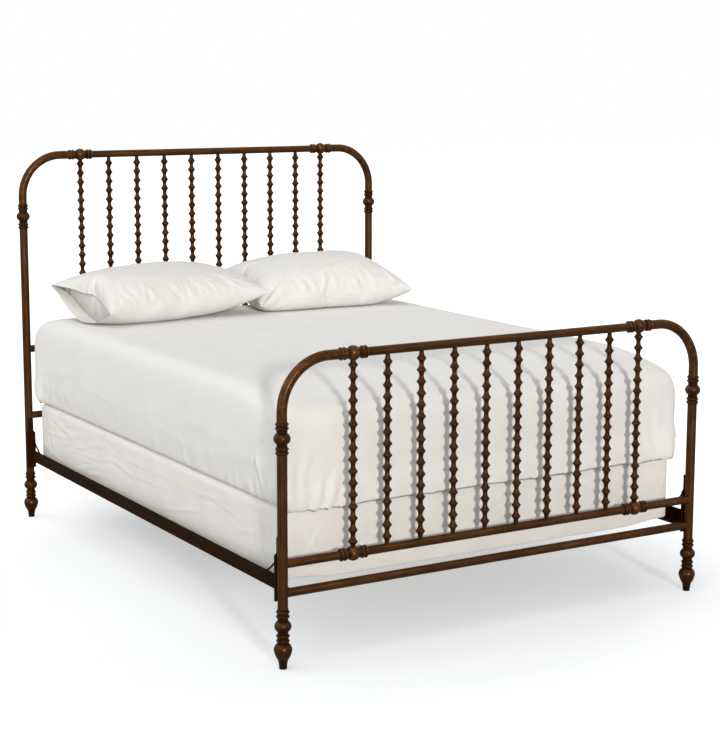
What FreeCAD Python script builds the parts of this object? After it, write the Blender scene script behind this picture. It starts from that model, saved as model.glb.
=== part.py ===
import FreeCAD, Part
import Sketcher
import math
import os
from types import SimpleNamespace

# A queen bed: a spindle bedstead of steel tube and castings, with angle-iron side rails,
# a box spring, a mattress in a fitted sheet and two pillows in their cases.
# Millimetres. The origin is on the floor under the middle of the bed, +Y towards the headboard.

SIZES = {
    # Bed that the bedstead holds, and the room left round it
    "bed_width": 1524,
    "bed_length": 2032,
    "bed_side_room": 38,
    "bed_head_gap": 9.5,
    "bed_foot_gap": 41.5,
    # Heights of the top rail axes, and of the lower rails one above the other from the cast feet
    "head_height": 1457,
    "foot_height": 948,
    "head_low_rail_rise": 233,
    "foot_low_rail_rise": 49,
    "head_spindle_rail_rise": 269.4,
    "foot_spindle_rail_rise": 90.8,
    # Tubes
    "post_diameter": 32,
    "rail_diameter": 28,
    "tube_wall": 2,
    "bend_radius": 160,
    # Bobbin spindles
    "spindle_inset": 245.6,
    "bead_diameter": 30,
    "bead_crest": 6,
    "bead_crest_rise": 1.4,
    "bead_neck_diameter": 14.5,
    "tenon_diameter": 10,
    "tenon_depth": 8,
    # Cast collars on posts and rails
    "collar_drop": 238,
    "collar_half_length": 49,
    "collar_wall": 1.8,
    "collar_neck_wall": 2.5,
    "socket_depth": 21,
    "ring_end": 5.5,
    "ring_pitch": 12.5,
    "ring_width": 9,
    "ring_rim": 3.6,
    "post_ring_proud": 6.5,
    "top_ring_proud": 5.75,
    "rail_ring_proud": 7.75,
    "post_ball_proud": 10,
    "rail_ball_proud": 9.5,
    "ball_height": 33,
    # Cast feet
    "foot_casting_height": 186,
    "foot_socket_depth": 26,
    "foot_tip_diameter": 24,
    "foot_swell_proud": 12.5,
    # Side rails: angle iron in two halves, splice, end plates and braces
    "rail_rise": 50,
    "rail_web": 46,
    "rail_flange": 40,
    "rail_thickness": 4,
    "rail_joint_offset": 35,
    "rail_joint_gap": 0.4,
    "splice_length": 200,
    "splice_height": 34,
    "splice_thickness": 4,
    "splice_bolt_inset": 30,
    "end_plate_drop": 28,
    "end_plate_shoulder_rise": 114,
    "end_plate_rise": 176,
    "end_plate_width": 36,
    "end_plate_tongue": 20,
    "end_plate_thickness": 5,
    "end_bolt_drop": 17,
    "end_bolt_rise": 165,
    "brace_diameter": 6,
    "brace_radius": 240,
    "brace_rise": 117,
    "brace_reach": 82,
    # Fasteners
    "bolt_diameter": 8,
    "bolt_head_width": 13,
    "bolt_head_height": 5,
    "end_bolt_tip": 4,
    "slat_bolt_diameter": 6,
    "slat_bolt_head_width": 10,
    "slat_bolt_head_height": 4,
    "slat_nut_height": 5,
    "slat_bolt_tip": 1.5,
    # Cross slats, centre legs and glides
    "slat_spacing": 650,
    "slat_width": 40,
    "slat_height": 12,
    "slat_wall": 1.5,
    "slat_end_gap": 12,
    "slat_bolt_inset": 20,
    "leg_diameter": 25,
    "leg_wall": 1.5,
    "leg_bottom_height": 32,
    "leg_bush_height": 14,
    "glide_stem_diameter": 10,
    "glide_stem_top_height": 62,
    "glide_pad_diameter": 42,
    "glide_pad_height": 12,
    "glide_pad_rim": 5,
    # Box spring
    "box_height": 224,
    "box_corner": 20,
    "box_edge": 16,
    "cover_thickness": 2,
    "box_board": 20,
    "box_frame_height": 60,
    "box_cross_board": 70,
    "grid_wire": 6,
    # Mattress and fitted sheet
    "mattress_height": 345,
    "mattress_side_bulge": 18,
    "mattress_end_bulge": 4,
    "mattress_corner": 45,
    "mattress_shoulder": 100,
    "mattress_wall": 15,
    "coil_diameter": 80,
    "coil_sleeve": 2,
    "coil_edge_inset": 250,
    "coil_headroom": 14,
    "sheet_thickness": 2,
    "sheet_tuck": 110,
    # Pillows and cases
    "pillow_depth": 420,
    "pillow_crown": 142,
    "pillow_belly": 62,
    "pillow_wall": 5,
    "pillow_left_margin": 52,
    "pillow_between": 56,
    "pillow_right_margin": 16,
    "pillow_left_back": 37,
    "pillow_right_back": 22,
    "case_thickness": 2.5,
    "case_mouth": 65,
    "case_turn_in": 15,
    # Fits
    "weld_gap": 0.15,
    "bolt_gap": 0.2,
    "thread_gap": 0.1,
    "rest_gap": 0.3,
    "cloth_gap": 0.5,
    "cut_overrun": 1,
}

SPINDLE_COUNT = 10
HEAD_BEAD_COUNT = 20
FOOT_BEAD_COUNT = 16
BOX_CROSS_COUNT = 5
GRID_LENGTH_COUNT = 4
GRID_CROSS_COUNT = 6
COIL_COLUMN_COUNT = 6
COIL_ROW_COUNT = 8

# Slats that have a centre leg: none is under the one at the foot
LEGGED_SLATS = ("head", "middle")

# Shares of the mattress's height and shoulder at each section, from its underside to its crown,
# and how much rounder its corners get for each length inwards
MATTRESS_HEIGHT_SHARES = (0.0, 0.02, 0.06, 0.14, 0.3, 0.5, 0.65, 0.78, 0.88, 0.945, 0.978, 1.0)
MATTRESS_INSET_SHARES = (0.38, 0.22, 0.12, 0.045, 0.0, 0.0, 0.07, 0.24, 0.52, 0.92, 1.4, 2.2)
MATTRESS_CORNER_SHARE = 0.4

# Shares of a pillow's length, depth and swell at each section, from the mouth to the closed end
PILLOW_STATION_SHARES = (-0.5, -0.46, -0.38, -0.25, -0.09, 0.09, 0.25, 0.38, 0.46, 0.5)
PILLOW_DEPTH_SHARES = (1.0, 0.98, 0.965, 0.95, 0.945, 0.945, 0.95, 0.965, 0.98, 1.0)
PILLOW_SWELL_SHARES = (0.14, 0.4, 0.66, 0.88, 1.0, 1.0, 0.88, 0.66, 0.4, 0.14)
MOUTH_DEPTH_SHARE = 0.95
MOUTH_SWELL_SHARE = 0.26

# Shares of a cast foot's height, from the floor up
FOOT_WAIST_HEIGHT_SHARE = 0.15
FOOT_SWELL_HEIGHT_SHARE = 0.32
FOOT_VASE_HEIGHT_SHARE = 0.425
FOOT_LOW_RING_SHARES = (0.47, 0.555)
FOOT_BALL_SHARE = 0.715
FOOT_HIGH_RING_SHARES = (0.88, 0.955)

# Shares for the bows of the cast feet and the end plates, and for the room a brace is cut from
FOOT_WAIST_SHARE = 0.25
FOOT_FLANK_SHARE = 1.6
TONGUE_BOW_SHARE = 0.8
BRACE_ROOM_SHARE = 1.5

TO_X = FreeCAD.Rotation(FreeCAD.Vector(0, 1, 0), 90)
TO_Y = FreeCAD.Rotation(FreeCAD.Vector(1, 0, 0), -90)
HALF_TURN = FreeCAD.Rotation(FreeCAD.Vector(0, 0, 1), 180)
UPRIGHT = FreeCAD.Rotation()
PILLOW_LEFT_TURN = FreeCAD.Rotation(FreeCAD.Vector(0, 0, 1), 8)
PILLOW_RIGHT_TURN = FreeCAD.Rotation(FreeCAD.Vector(0, 0, 1), -3)


class Size:
    """A length in use: its value now, and the sheet expression that binds a property to it."""

    def __init__(self, value, text):
        self.value = float(value)
        self.text = text

    def __add__(self, other):
        other = sized(other)
        return Size(self.value + other.value, f"({self.text} + {other.text})")

    def __sub__(self, other):
        other = sized(other)
        return Size(self.value - other.value, f"({self.text} - {other.text})")

    def __mul__(self, other):
        other = sized(other)
        return Size(self.value * other.value, f"({self.text} * {other.text})")

    def __truediv__(self, other):
        other = sized(other)
        return Size(self.value / other.value, f"({self.text} / {other.text})")

    def __neg__(self):
        return Size(-self.value, f"(0 - {self.text})")

    def root(self):
        return Size(math.sqrt(self.value), f"sqrt({self.text})")


def sized(number):
    """Lets a plain count or share stand beside a Size in a sum."""
    return number if isinstance(number, Size) else Size(number, repr(float(number)))


doc = FreeCAD.newDocument("bed")
sheet = doc.addObject("Spreadsheet::Sheet", "sizes")
for row, (alias, length) in enumerate(SIZES.items(), 1):
    sheet.set(f"A{row}", alias)
    sheet.set(f"B{row}", str(length))
    sheet.setAlias(f"B{row}", alias)
doc.recompute()
size = SimpleNamespace(**{alias: Size(length, f"sizes.{alias}") for alias, length in SIZES.items()})
ZERO = Size(0, "0")
sub_parts = []

# Places that several pieces share: post axes, rail heights, collar sizes
rail_ball_diameter = size.rail_diameter + size.rail_ball_proud * 2
post_ball_diameter = size.post_diameter + size.post_ball_proud * 2
post_ring_diameter = size.post_diameter + size.post_ring_proud * 2
collar_neck = size.rail_diameter / 2 + size.collar_neck_wall
ring_far = size.collar_half_length - size.ring_end
ring_near = ring_far - size.ring_pitch
rail_x = size.bed_width / 2 + size.bed_side_room
board_y = (size.bed_length + size.bed_head_gap + size.bed_foot_gap + rail_ball_diameter) / 2
bed_y = (size.bed_foot_gap - size.bed_head_gap) / 2
rail_low = size.foot_casting_height + size.rail_rise
end_bolt_heights = (rail_low - size.end_bolt_drop, rail_low + size.end_bolt_rise)
spindle_spacing = (rail_x - size.spindle_inset) * 2 / (SPINDLE_COUNT - 1)


def bind(thing, **lengths):
    """Binds properties of an object to sizes of the sheet."""
    for name, length in lengths.items():
        thing.setExpression(name, sized(length).text)
    return thing


def place(thing, x=ZERO, y=ZERO, z=ZERO, turn=UPRIGHT):
    """Puts an object at a bound place, turned as given."""
    thing.Placement = FreeCAD.Placement(FreeCAD.Vector(), turn)
    for axis, length in (("x", x), ("y", y), ("z", z)):
        thing.setExpression(f"Placement.Base.{axis}", sized(length).text)
    return thing


def sub_part(label, thing):
    """Names an object as one piece of the bed."""
    thing.Label = label
    sub_parts.append(thing)
    return thing


def box(start, lengths):
    """A block from its lowest corner and its three lengths."""
    block = doc.addObject("Part::Box", "block")
    bind(block, Length=lengths[0], Width=lengths[1], Height=lengths[2])
    return place(block, *start)


def rod(diameter, length, start, turn=UPRIGHT):
    """A round bar from the middle of its first end."""
    bar = doc.addObject("Part::Cylinder", "rod")
    bind(bar, Radius=sized(diameter) / 2, Height=length)
    return place(bar, *start, turn)


def hexagon(width, height, start, turn=UPRIGHT):
    """A hexagon bar, as wide as given across its flats."""
    bar = doc.addObject("Part::Prism", "hexagon")
    bar.Polygon = 6
    bind(bar, Circumradius=sized(width) / Size(math.sqrt(3), "sqrt(3)"), Height=height)
    return place(bar, *start, turn)


def fuse(*things):
    whole = doc.addObject("Part::MultiFuse", "joined")
    whole.Shapes = list(things)
    return whole


def group(things):
    bundle = doc.addObject("Part::Compound", "group")
    bundle.Links = list(things)
    return bundle


def cut(base, *tools):
    rest = doc.addObject("Part::Cut", "cut")
    rest.Base = base
    rest.Tool = tools[0] if len(tools) == 1 else group(tools)
    return rest


def copy_of(thing, start, turn=UPRIGHT):
    """The same piece once more, at another place."""
    link = doc.addObject("App::Link", "copy")
    link.LinkedObject = thing
    return place(link, *start, turn)


def new_body(name):
    return doc.addObject("PartDesign::Body", name)


def datum(body, role):
    """A plane or axis of a body's own origin."""
    return next(feature for feature in body.Origin.OriginFeatures if feature.Role == role)


def new_sketch(body, plane, offset=None):
    sketch = body.newObject("Sketcher::SketchObject", "outline")
    sketch.AttachmentSupport = (plane, [""])
    sketch.MapMode = "FlatFace"
    if offset is not None:
        sketch.setExpression("AttachmentOffset.Base.z", offset.text)
    return sketch


def hold(sketch, rules):
    """Adds constraints to a sketch: each a constraint, with the size that drives it or None."""
    numbers = sketch.addConstraint([rule for rule, length in rules])
    for number, (_, length) in zip(numbers, rules):
        if length is not None:
            name = f"size{number}"
            sketch.renameConstraint(number, name)
            sketch.setExpression(f"Constraints.{name}", length.text)


def pin(edge, end, x, y):
    """Rules that hold one end of an edge at bound coordinates."""
    rules = []
    for kind, length, line in (("DistanceX", x, -2), ("DistanceY", y, -1)):
        if length.value == 0:
            rules.append((Sketcher.Constraint("PointOnObject", edge, end, line), None))
        else:
            rules.append((Sketcher.Constraint(kind, -1, 1, edge, end, length.value), length))
    return rules


def arc_edge(start, end, radius, turn):
    """The smaller arc between two points: turn is 1 to the left, -1 to the right."""
    chord = end - start
    left = FreeCAD.Vector(-chord.y, chord.x, 0).normalize()
    rise = math.sqrt(max(radius ** 2 - (chord.Length / 2) ** 2, 0))
    centre = (start + end) / 2 + left * (rise * turn)
    first, last = (start, end) if turn > 0 else (end, start)
    begin = math.atan2(first.y - centre.y, first.x - centre.x)
    finish = math.atan2(last.y - centre.y, last.x - centre.x)
    if finish < begin:
        finish += 2 * math.pi
    circle = Part.Circle(centre, FreeCAD.Vector(0, 0, 1), radius)
    return Part.ArcOfCircle(circle, begin, finish)


def draw(sketch, corners, closed=True):
    """Draws an outline through corners (x, y), or (x, y, radius, turn) where an arc leaves the corner."""
    points = [FreeCAD.Vector(x.value, y.value, 0) for x, y, *arc in corners]
    count = len(corners)
    lines = []
    ends = []
    rules = []
    for i in range(count if closed else count - 1):
        start, end = points[i], points[(i + 1) % count]
        if len(corners[i]) == 2:
            lines.append(Part.LineSegment(start, end))
            ends.append((1, 2))
        else:
            radius, turn = corners[i][2:]
            lines.append(arc_edge(start, end, radius.value, turn))
            ends.append((1, 2) if turn > 0 else (2, 1))
            rules.append((Sketcher.Constraint("Radius", i, radius.value), radius))
        rules += pin(i, ends[i][0], *corners[i][:2])
    if not closed:
        rules += pin(len(lines) - 1, ends[-1][1], *corners[-1][:2])
    for i in range(len(lines) if closed else len(lines) - 1):
        following = (i + 1) % len(lines)
        join = Sketcher.Constraint("Coincident", i, ends[i][1], following, ends[following][0])
        rules.append((join, None))
    sketch.addGeometry(lines)
    hold(sketch, rules)
    return sketch


def arc_radius(rise, half_chord):
    """Radius of the arc that rises so far over half its chord."""
    return (rise * rise + half_chord * half_chord) / (rise * 2)


def turned(name, outline):
    """A piece turned round its upright axis, from its half outline (radius, height)."""
    body = new_body(name)
    sketch = draw(new_sketch(body, datum(body, "XZ_Plane")), outline)
    revolution = body.newObject("PartDesign::Revolution", "turned")
    revolution.Profile = sketch
    revolution.ReferenceAxis = (sketch, ["V_Axis"])
    revolution.Angle = 360
    return body


def extruded(name, outline, length):
    """A bar of one section (x, z) along +Y."""
    body = new_body(name)
    sketch = draw(new_sketch(body, datum(body, "XZ_Plane")), outline)
    pad = body.newObject("PartDesign::Pad", "pad")
    pad.Profile = sketch
    pad.Reversed = True
    bind(pad, Length=length)
    return body


def tube(diameter, wall, length, start, turn=UPRIGHT):
    """A round tube from the middle of its first end."""
    outside = rod(diameter, length, start, turn)
    back = turn.multVec(FreeCAD.Vector(0, 0, -1))
    run = size.cut_overrun
    inner_start = [sized(begin) + run * share for begin, share in zip(start, back)]
    inside = rod(diameter - wall * 2, length + run * 2, inner_start, turn)
    return cut(outside, inside)


# Castings: rings, necks and balls in one turned outline


def ring_corners(centre, ring_diameter, root_radius):
    """One ring of a casting, with straight flanks and a rounded rim."""
    half = size.ring_width / 2
    rim = ring_diameter / 2 - size.ring_rim
    rim_half = size.ring_width / 2 - size.ring_rim / 2
    return [
        (root_radius, centre - half),
        (rim, centre - rim_half, arc_radius(size.ring_rim, rim_half), 1),
        (rim, centre + rim_half),
        (root_radius, centre + half),
    ]


def ball_corners(centre, diameter, height, neck_radius):
    """A flattened ball between two necks."""
    bow = arc_radius(diameter / 2 - neck_radius, height / 2)
    return [(neck_radius, centre - height / 2, bow, 1), (neck_radius, centre + height / 2)]


def collar(name, ring_diameter, ball_diameter, low_socket, high_socket, through=False):
    """A collar casting on an upright axis, from its low end: rings, ball and rings, bored for tubes."""
    middle = size.collar_half_length
    neck = collar_neck
    low_root = low_socket / 2 + size.collar_wall
    high_root = high_socket / 2 + size.collar_wall
    outline = [(ZERO, ZERO), (low_root, ZERO)]
    outline += ring_corners(middle - ring_far, ring_diameter, low_root)
    outline += ring_corners(middle - ring_near, ring_diameter, low_root)
    outline += [(neck, middle - ring_near + size.ring_width / 2)]
    outline += ball_corners(middle, ball_diameter, size.ball_height, neck)
    outline += [(neck, middle + ring_near - size.ring_width / 2)]
    outline += ring_corners(middle + ring_near, ring_diameter, high_root)
    outline += ring_corners(middle + ring_far, ring_diameter, high_root)
    outline += [(high_root, middle * 2), (ZERO, middle * 2)]
    casting = turned(name, outline)
    run = size.cut_overrun
    bore = size.weld_gap * 2
    if through:
        return cut(casting, rod(low_socket + bore, middle * 2 + run * 2, (ZERO, ZERO, -run)))
    low = rod(low_socket + bore, size.socket_depth + run, (ZERO, ZERO, -run))
    high = rod(high_socket + bore, size.socket_depth + run, (ZERO, ZERO, middle * 2 - size.socket_depth))
    return cut(casting, low, high)


def foot_casting(name):
    """A cast foot from the floor up: vase, rings, ball and rings, with a socket for the post."""
    height = size.foot_casting_height
    root = size.post_diameter / 2 + size.collar_wall
    tip = size.foot_tip_diameter / 2
    swell = size.post_diameter / 2 + size.foot_swell_proud
    waist = tip + (swell - tip) * FOOT_WAIST_SHARE
    waist_height = height * FOOT_WAIST_HEIGHT_SHARE
    swell_height = height * FOOT_SWELL_HEIGHT_SHARE
    vase_height = height * FOOT_VASE_HEIGHT_SHARE
    flank = arc_radius(swell - waist, swell_height - waist_height) * FOOT_FLANK_SHARE
    crown = arc_radius(swell - root, vase_height - swell_height)
    sweep = arc_radius(waist - tip, waist_height)
    outline = [(ZERO, ZERO), (tip, ZERO, sweep, -1), (waist, waist_height, flank, 1)]
    outline += [(swell, swell_height, crown, 1), (root, vase_height)]
    for share in FOOT_LOW_RING_SHARES:
        outline += ring_corners(height * share, post_ring_diameter, root)
    outline += [(collar_neck, height * FOOT_LOW_RING_SHARES[-1] + size.ring_width / 2)]
    outline += ball_corners(height * FOOT_BALL_SHARE, post_ball_diameter, size.ball_height, collar_neck)
    outline += [(collar_neck, height * FOOT_HIGH_RING_SHARES[0] - size.ring_width / 2)]
    for share in FOOT_HIGH_RING_SHARES:
        outline += ring_corners(height * share, post_ring_diameter, root)
    outline += [(root, height), (ZERO, height)]
    casting = turned(name, outline)
    depth = size.foot_socket_depth
    socket = rod(size.post_diameter + size.weld_gap * 2, depth + size.cut_overrun,
                 (ZERO, ZERO, height - depth))
    return cut(casting, socket)


# Spindles: beads turned in a row, necks at the ends, tenons into the rails


def spindle_blank(name, bead_count, pitch):
    """A row of beads with a neck at each end, from the axis of the low rail to that of the top rail."""
    neck = size.bead_neck_diameter / 2
    edge = size.bead_diameter / 2 - size.bead_crest_rise
    half_crest = size.bead_crest / 2
    hollow = arc_radius(edge - neck, pitch / 2 - half_crest)
    crest = arc_radius(size.bead_crest_rise, half_crest)
    outline = [
        (ZERO, pitch / 2),
        (neck, pitch / 2, hollow, -1),
        (edge, pitch - half_crest, crest, 1),
        (edge, pitch + half_crest, hollow, -1),
        (neck, pitch + pitch / 2),
        (ZERO, pitch + pitch / 2),
    ]
    body = turned(name, outline)
    doc.recompute()
    bead = body.Tip
    row = body.newObject("PartDesign::LinearPattern", "bead_row")
    row.Originals = [bead]
    row.Direction = (datum(body, "Z_Axis"), [""])
    bind(row, Length=pitch * (bead_count - 1), Occurrences=bead_count)
    body.Tip = row
    low_neck = rod(neck * 2, pitch / 2, (ZERO, ZERO, ZERO))
    top_neck = rod(neck * 2, pitch / 2, (ZERO, ZERO, pitch * (bead_count + 1) - pitch / 2))
    return fuse(body, low_neck, top_neck)


def spindle(blank, bead_count, pitch, seat_diameter, on_ball):
    """A blank with its ends hollowed to sit on a rail or on a collar's ball, and a tenon at each end."""
    top = pitch * (bead_count + 1)
    seat = seat_diameter / 2 + size.weld_gap
    reach = pitch - seat + size.tenon_depth
    tools = []
    tenons = []
    for height, start in ((ZERO, pitch - reach), (top, top - pitch)):
        if on_ball:
            ball = doc.addObject("Part::Sphere", "ball")
            bind(ball, Radius=seat)
            tools.append(place(ball, z=height))
        else:
            tools.append(rod(seat * 2, pitch, (-pitch / 2, ZERO, height), TO_X))
        tenons.append(rod(size.tenon_diameter, reach, (ZERO, ZERO, start)))
    return fuse(cut(blank, *tools), *tenons)


def spindle_x(number):
    return spindle_spacing * (number - (SPINDLE_COUNT - 1) / 2)


# Headboard and footboard

bolt_hole = size.bolt_diameter + size.bolt_gap * 2


def board(prefix, y, height, bead_count, low_rail_rise, spindle_rail_rise, inward):
    """One end of the bedstead: posts, corners, collars, rails, spindles and feet at one place along Y."""
    half = rail_x
    end_x = spindle_x(SPINDLE_COUNT - 1)
    run = size.cut_overrun
    low_rail_height = size.foot_casting_height + low_rail_rise
    spindle_rail_height = low_rail_height + spindle_rail_rise
    pitch = (height - spindle_rail_height) / (bead_count + 1)
    collar_height = height - size.collar_drop
    collar_seat = size.collar_half_length - size.socket_depth
    post_bottom = size.foot_casting_height - size.foot_socket_depth
    post_length = collar_height - collar_seat - post_bottom
    bore_turn = FreeCAD.Rotation(FreeCAD.Vector(1, 0, 0), -90 * inward)
    hole = size.tenon_diameter + size.weld_gap * 2
    hole_depth = size.tenon_depth + size.weld_gap
    ball = rail_ball_diameter / 2
    for side, x, turn in (("left", -half, UPRIGHT), ("right", half, HALF_TURN)):
        post = tube(size.post_diameter, size.tube_wall, post_length, (x, y, post_bottom))
        bores = []
        for bolt_height in end_bolt_heights:
            bores.append(rod(bolt_hole, size.post_diameter, (x, y, bolt_height), bore_turn))
        sub_part(f"{prefix}_post_{side}", cut(post, *bores))

        foot = foot_casting(f"{prefix}_foot_casting")
        sub_part(f"{prefix}_cast_foot_{side}", place(foot, x, y))

        post_collar = collar(f"{prefix}_post_collar", post_ring_diameter, post_ball_diameter,
                             size.post_diameter, size.post_diameter)
        place(post_collar, x, y, collar_height - size.collar_half_length)
        sub_part(f"{prefix}_post_collar_{side}", post_collar)

        rise = size.collar_drop - size.bend_radius - collar_seat
        run_in = half - size.bend_radius - end_x - collar_seat
        corner = new_body(f"{prefix}_corner")
        path = [
            (ZERO, ZERO),
            (ZERO, rise, size.bend_radius, -1),
            (size.bend_radius, rise + size.bend_radius),
            (size.bend_radius + run_in, rise + size.bend_radius),
        ]
        spine = draw(new_sketch(corner, datum(corner, "XZ_Plane")), path, closed=False)
        ring = new_sketch(corner, datum(corner, "XY_Plane"))
        for number, radius in enumerate((size.post_diameter / 2, size.post_diameter / 2 - size.tube_wall)):
            ring.addGeometry(Part.Circle(FreeCAD.Vector(), FreeCAD.Vector(0, 0, 1), radius.value))
            centred = Sketcher.Constraint("Coincident", number, 3, -1, 1)
            hold(ring, [(centred, None), (Sketcher.Constraint("Radius", number, radius.value), radius)])
        pipe = corner.newObject("PartDesign::AdditivePipe", "bent_tube")
        pipe.Profile = ring
        pipe.Spine = (spine, ["Edge1", "Edge2", "Edge3"])
        place(corner, x, y, collar_height + collar_seat, turn)
        sub_part(f"{prefix}_corner_{side}", corner)

        end_spindle_x = -end_x if side == "left" else end_x
        top_collar = collar(f"{prefix}_top_collar", size.post_diameter + size.top_ring_proud * 2,
                            rail_ball_diameter, size.post_diameter, size.rail_diameter)
        outer_end = end_x + size.collar_half_length
        place(top_collar, -outer_end if side == "left" else outer_end, y, height, turn.multiply(TO_X))
        tenon_hole = rod(hole, hole_depth + run, (end_spindle_x, y, height - ball - run))
        sub_part(f"{prefix}_top_collar_{side}", cut(top_collar, tenon_hole))

        rail_collar = collar(f"{prefix}_rail_collar", size.rail_diameter + size.rail_ring_proud * 2,
                             rail_ball_diameter, size.rail_diameter, size.rail_diameter, through=True)
        place(rail_collar, end_spindle_x - size.collar_half_length, y, spindle_rail_height, TO_X)
        tenon_hole = rod(hole, hole_depth + run, (end_spindle_x, y, spindle_rail_height + ball - hole_depth))
        sub_part(f"{prefix}_rail_collar_{side}", cut(rail_collar, tenon_hole))

    top_half = end_x - collar_seat
    top_rail = tube(size.rail_diameter, size.tube_wall, top_half * 2, (-top_half, y, height), TO_X)
    inner = range(1, SPINDLE_COUNT - 1)
    low = height - size.rail_diameter
    top_holes = [rod(hole, size.rail_diameter, (spindle_x(i), y, low)) for i in inner]
    sub_part(f"{prefix}_top_rail", cut(top_rail, *top_holes))

    def cross_rail(label, z, holes):
        """A rail from post to post, hollowed at its ends to sit on them."""
        rail = tube(size.rail_diameter, size.tube_wall, half * 2, (-half, y, z), TO_X)
        reach = size.post_diameter
        seat = size.post_diameter + size.weld_gap * 2
        copes = [rod(seat, reach * 2, (x, y, z - reach)) for x in (-half, half)]
        sub_part(label, cut(rail, *copes, *holes))

    rail_holes = [rod(hole, size.rail_diameter, (spindle_x(i), y, spindle_rail_height)) for i in inner]
    cross_rail(f"{prefix}_spindle_rail", spindle_rail_height, rail_holes)
    cross_rail(f"{prefix}_low_rail", low_rail_height, [])

    blank = spindle_blank(f"{prefix}_spindle", bead_count, pitch)
    plain = spindle(blank, bead_count, pitch, size.rail_diameter, False)
    outer = spindle(blank, bead_count, pitch, rail_ball_diameter, True)
    spindles = []
    for number in range(SPINDLE_COUNT):
        kind = plain if number in inner else outer
        spindles.append(copy_of(kind, (spindle_x(number), y, spindle_rail_height)))
    sub_part(f"{prefix}_spindles", group(spindles))


board("head", board_y, size.head_height, HEAD_BEAD_COUNT,
      size.head_low_rail_rise, size.head_spindle_rail_rise, -1)
board("foot", -board_y, size.foot_height, FOOT_BEAD_COUNT,
      size.foot_low_rail_rise, size.foot_spindle_rail_rise, 1)

# Side rails: on each side two lengths of angle iron, spliced near the middle

plate_face = board_y - size.post_diameter / 2 - size.weld_gap
rail_end = plate_face - size.end_plate_thickness - size.weld_gap
rail_top = rail_low + size.rail_web
flange_top = rail_low + size.rail_thickness
joint_y = size.rail_joint_offset
slat_bolt_hole = size.slat_bolt_diameter + size.bolt_gap * 2
slat_places = {"head": size.slat_spacing, "middle": ZERO, "foot": -size.slat_spacing}
slat_bolt_x = rail_x - size.slat_bolt_inset
splice_reach = size.splice_length / 2 - size.splice_bolt_inset
splice_bolt_shares = (-1, -1 / 3, 1 / 3, 1)
splice_bolt_places = [joint_y + splice_reach * share for share in splice_bolt_shares]
splice_height = flange_top + size.weld_gap + size.splice_height / 2

angle_section = [
    (ZERO, ZERO),
    (size.rail_flange, ZERO),
    (size.rail_flange, size.rail_thickness),
    (size.rail_thickness, size.rail_thickness),
    (size.rail_thickness, size.rail_web),
    (ZERO, size.rail_web),
]
half_rails = {
    "head": (joint_y + size.rail_joint_gap / 2, rail_end),
    "foot": (-rail_end, joint_y - size.rail_joint_gap / 2),
}
for side, x in (("left", -rail_x), ("right", rail_x)):
    for half_name, (low_y, high_y) in half_rails.items():
        angle = extruded("angle_iron", angle_section, high_y - low_y)
        if side == "left":
            place(angle, x, low_y, rail_low)
        else:
            place(angle, x, high_y, rail_low, HALF_TURN)
        holes = []
        for y in splice_bolt_places:
            if low_y.value < y.value < high_y.value:
                start_x = x - size.bolt_diameter
                holes.append(rod(bolt_hole, size.bolt_diameter * 2, (start_x, y, splice_height), TO_X))
        for y in slat_places.values():
            if low_y.value < y.value < high_y.value:
                bolt_x = -slat_bolt_x if side == "left" else slat_bolt_x
                start_z = rail_low - size.cut_overrun
                depth = size.rail_thickness + size.cut_overrun * 2
                holes.append(rod(slat_bolt_hole, depth, (bolt_x, y, start_z)))
        sub_part(f"side_rail_{side}_{half_name}", cut(angle, *holes))

# Splice plates behind the rail joints

splice_lengths = (size.splice_thickness, size.splice_length, size.splice_height)
splice_blank = box((ZERO, -size.splice_length / 2, -size.splice_height / 2), splice_lengths)
splice_holes = []
for y in splice_bolt_places:
    start = (-size.cut_overrun, y - joint_y, ZERO)
    splice_holes.append(rod(bolt_hole, size.splice_thickness + size.cut_overrun * 2, start, TO_X))
splice_plate = cut(splice_blank, *splice_holes)
splice_x = rail_x - size.rail_thickness - size.weld_gap
splices = [
    copy_of(splice_plate, (-splice_x, joint_y, splice_height)),
    copy_of(splice_plate, (splice_x - size.splice_thickness, joint_y, splice_height)),
]
sub_part("rail_splice_plates", group(splices))

# End plates: a wide foot and a narrow tongue, bolted to the inner side of each post

plate_half = size.end_plate_width / 2
tongue_half = size.end_plate_tongue / 2
plate_bottom = rail_low - size.end_plate_drop
plate_shoulder = rail_low + size.end_plate_shoulder_rise
tongue_top = rail_low + size.end_plate_rise - tongue_half
tongue_bow = arc_radius(tongue_half * TONGUE_BOW_SHARE, tongue_half)
plate_outline = [
    (-plate_half, plate_bottom),
    (plate_half, plate_bottom),
    (plate_half, plate_shoulder),
    (tongue_half, plate_shoulder + plate_half - tongue_half),
    (tongue_half, tongue_top, tongue_bow, 1),
    (-tongue_half, tongue_top),
    (-tongue_half, plate_shoulder + plate_half - tongue_half),
    (-plate_half, plate_shoulder),
]
plate_blank = extruded("end_plate", plate_outline, size.end_plate_thickness)
plate_holes = []
for height in end_bolt_heights:
    start = (ZERO, -size.cut_overrun, height)
    plate_holes.append(rod(bolt_hole, size.end_plate_thickness + size.cut_overrun * 2, start, TO_Y))
end_plate = cut(plate_blank, *plate_holes)
bed_corners = [
    (-rail_x, -plate_face, UPRIGHT),
    (rail_x, -plate_face, UPRIGHT),
    (-rail_x, plate_face, HALF_TURN),
    (rail_x, plate_face, HALF_TURN),
]
sub_part("rail_end_plates", group([copy_of(end_plate, (x, y, ZERO), turn) for x, y, turn in bed_corners]))

# Braces: a bent rod from each end plate down to the top edge of the rail

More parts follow.
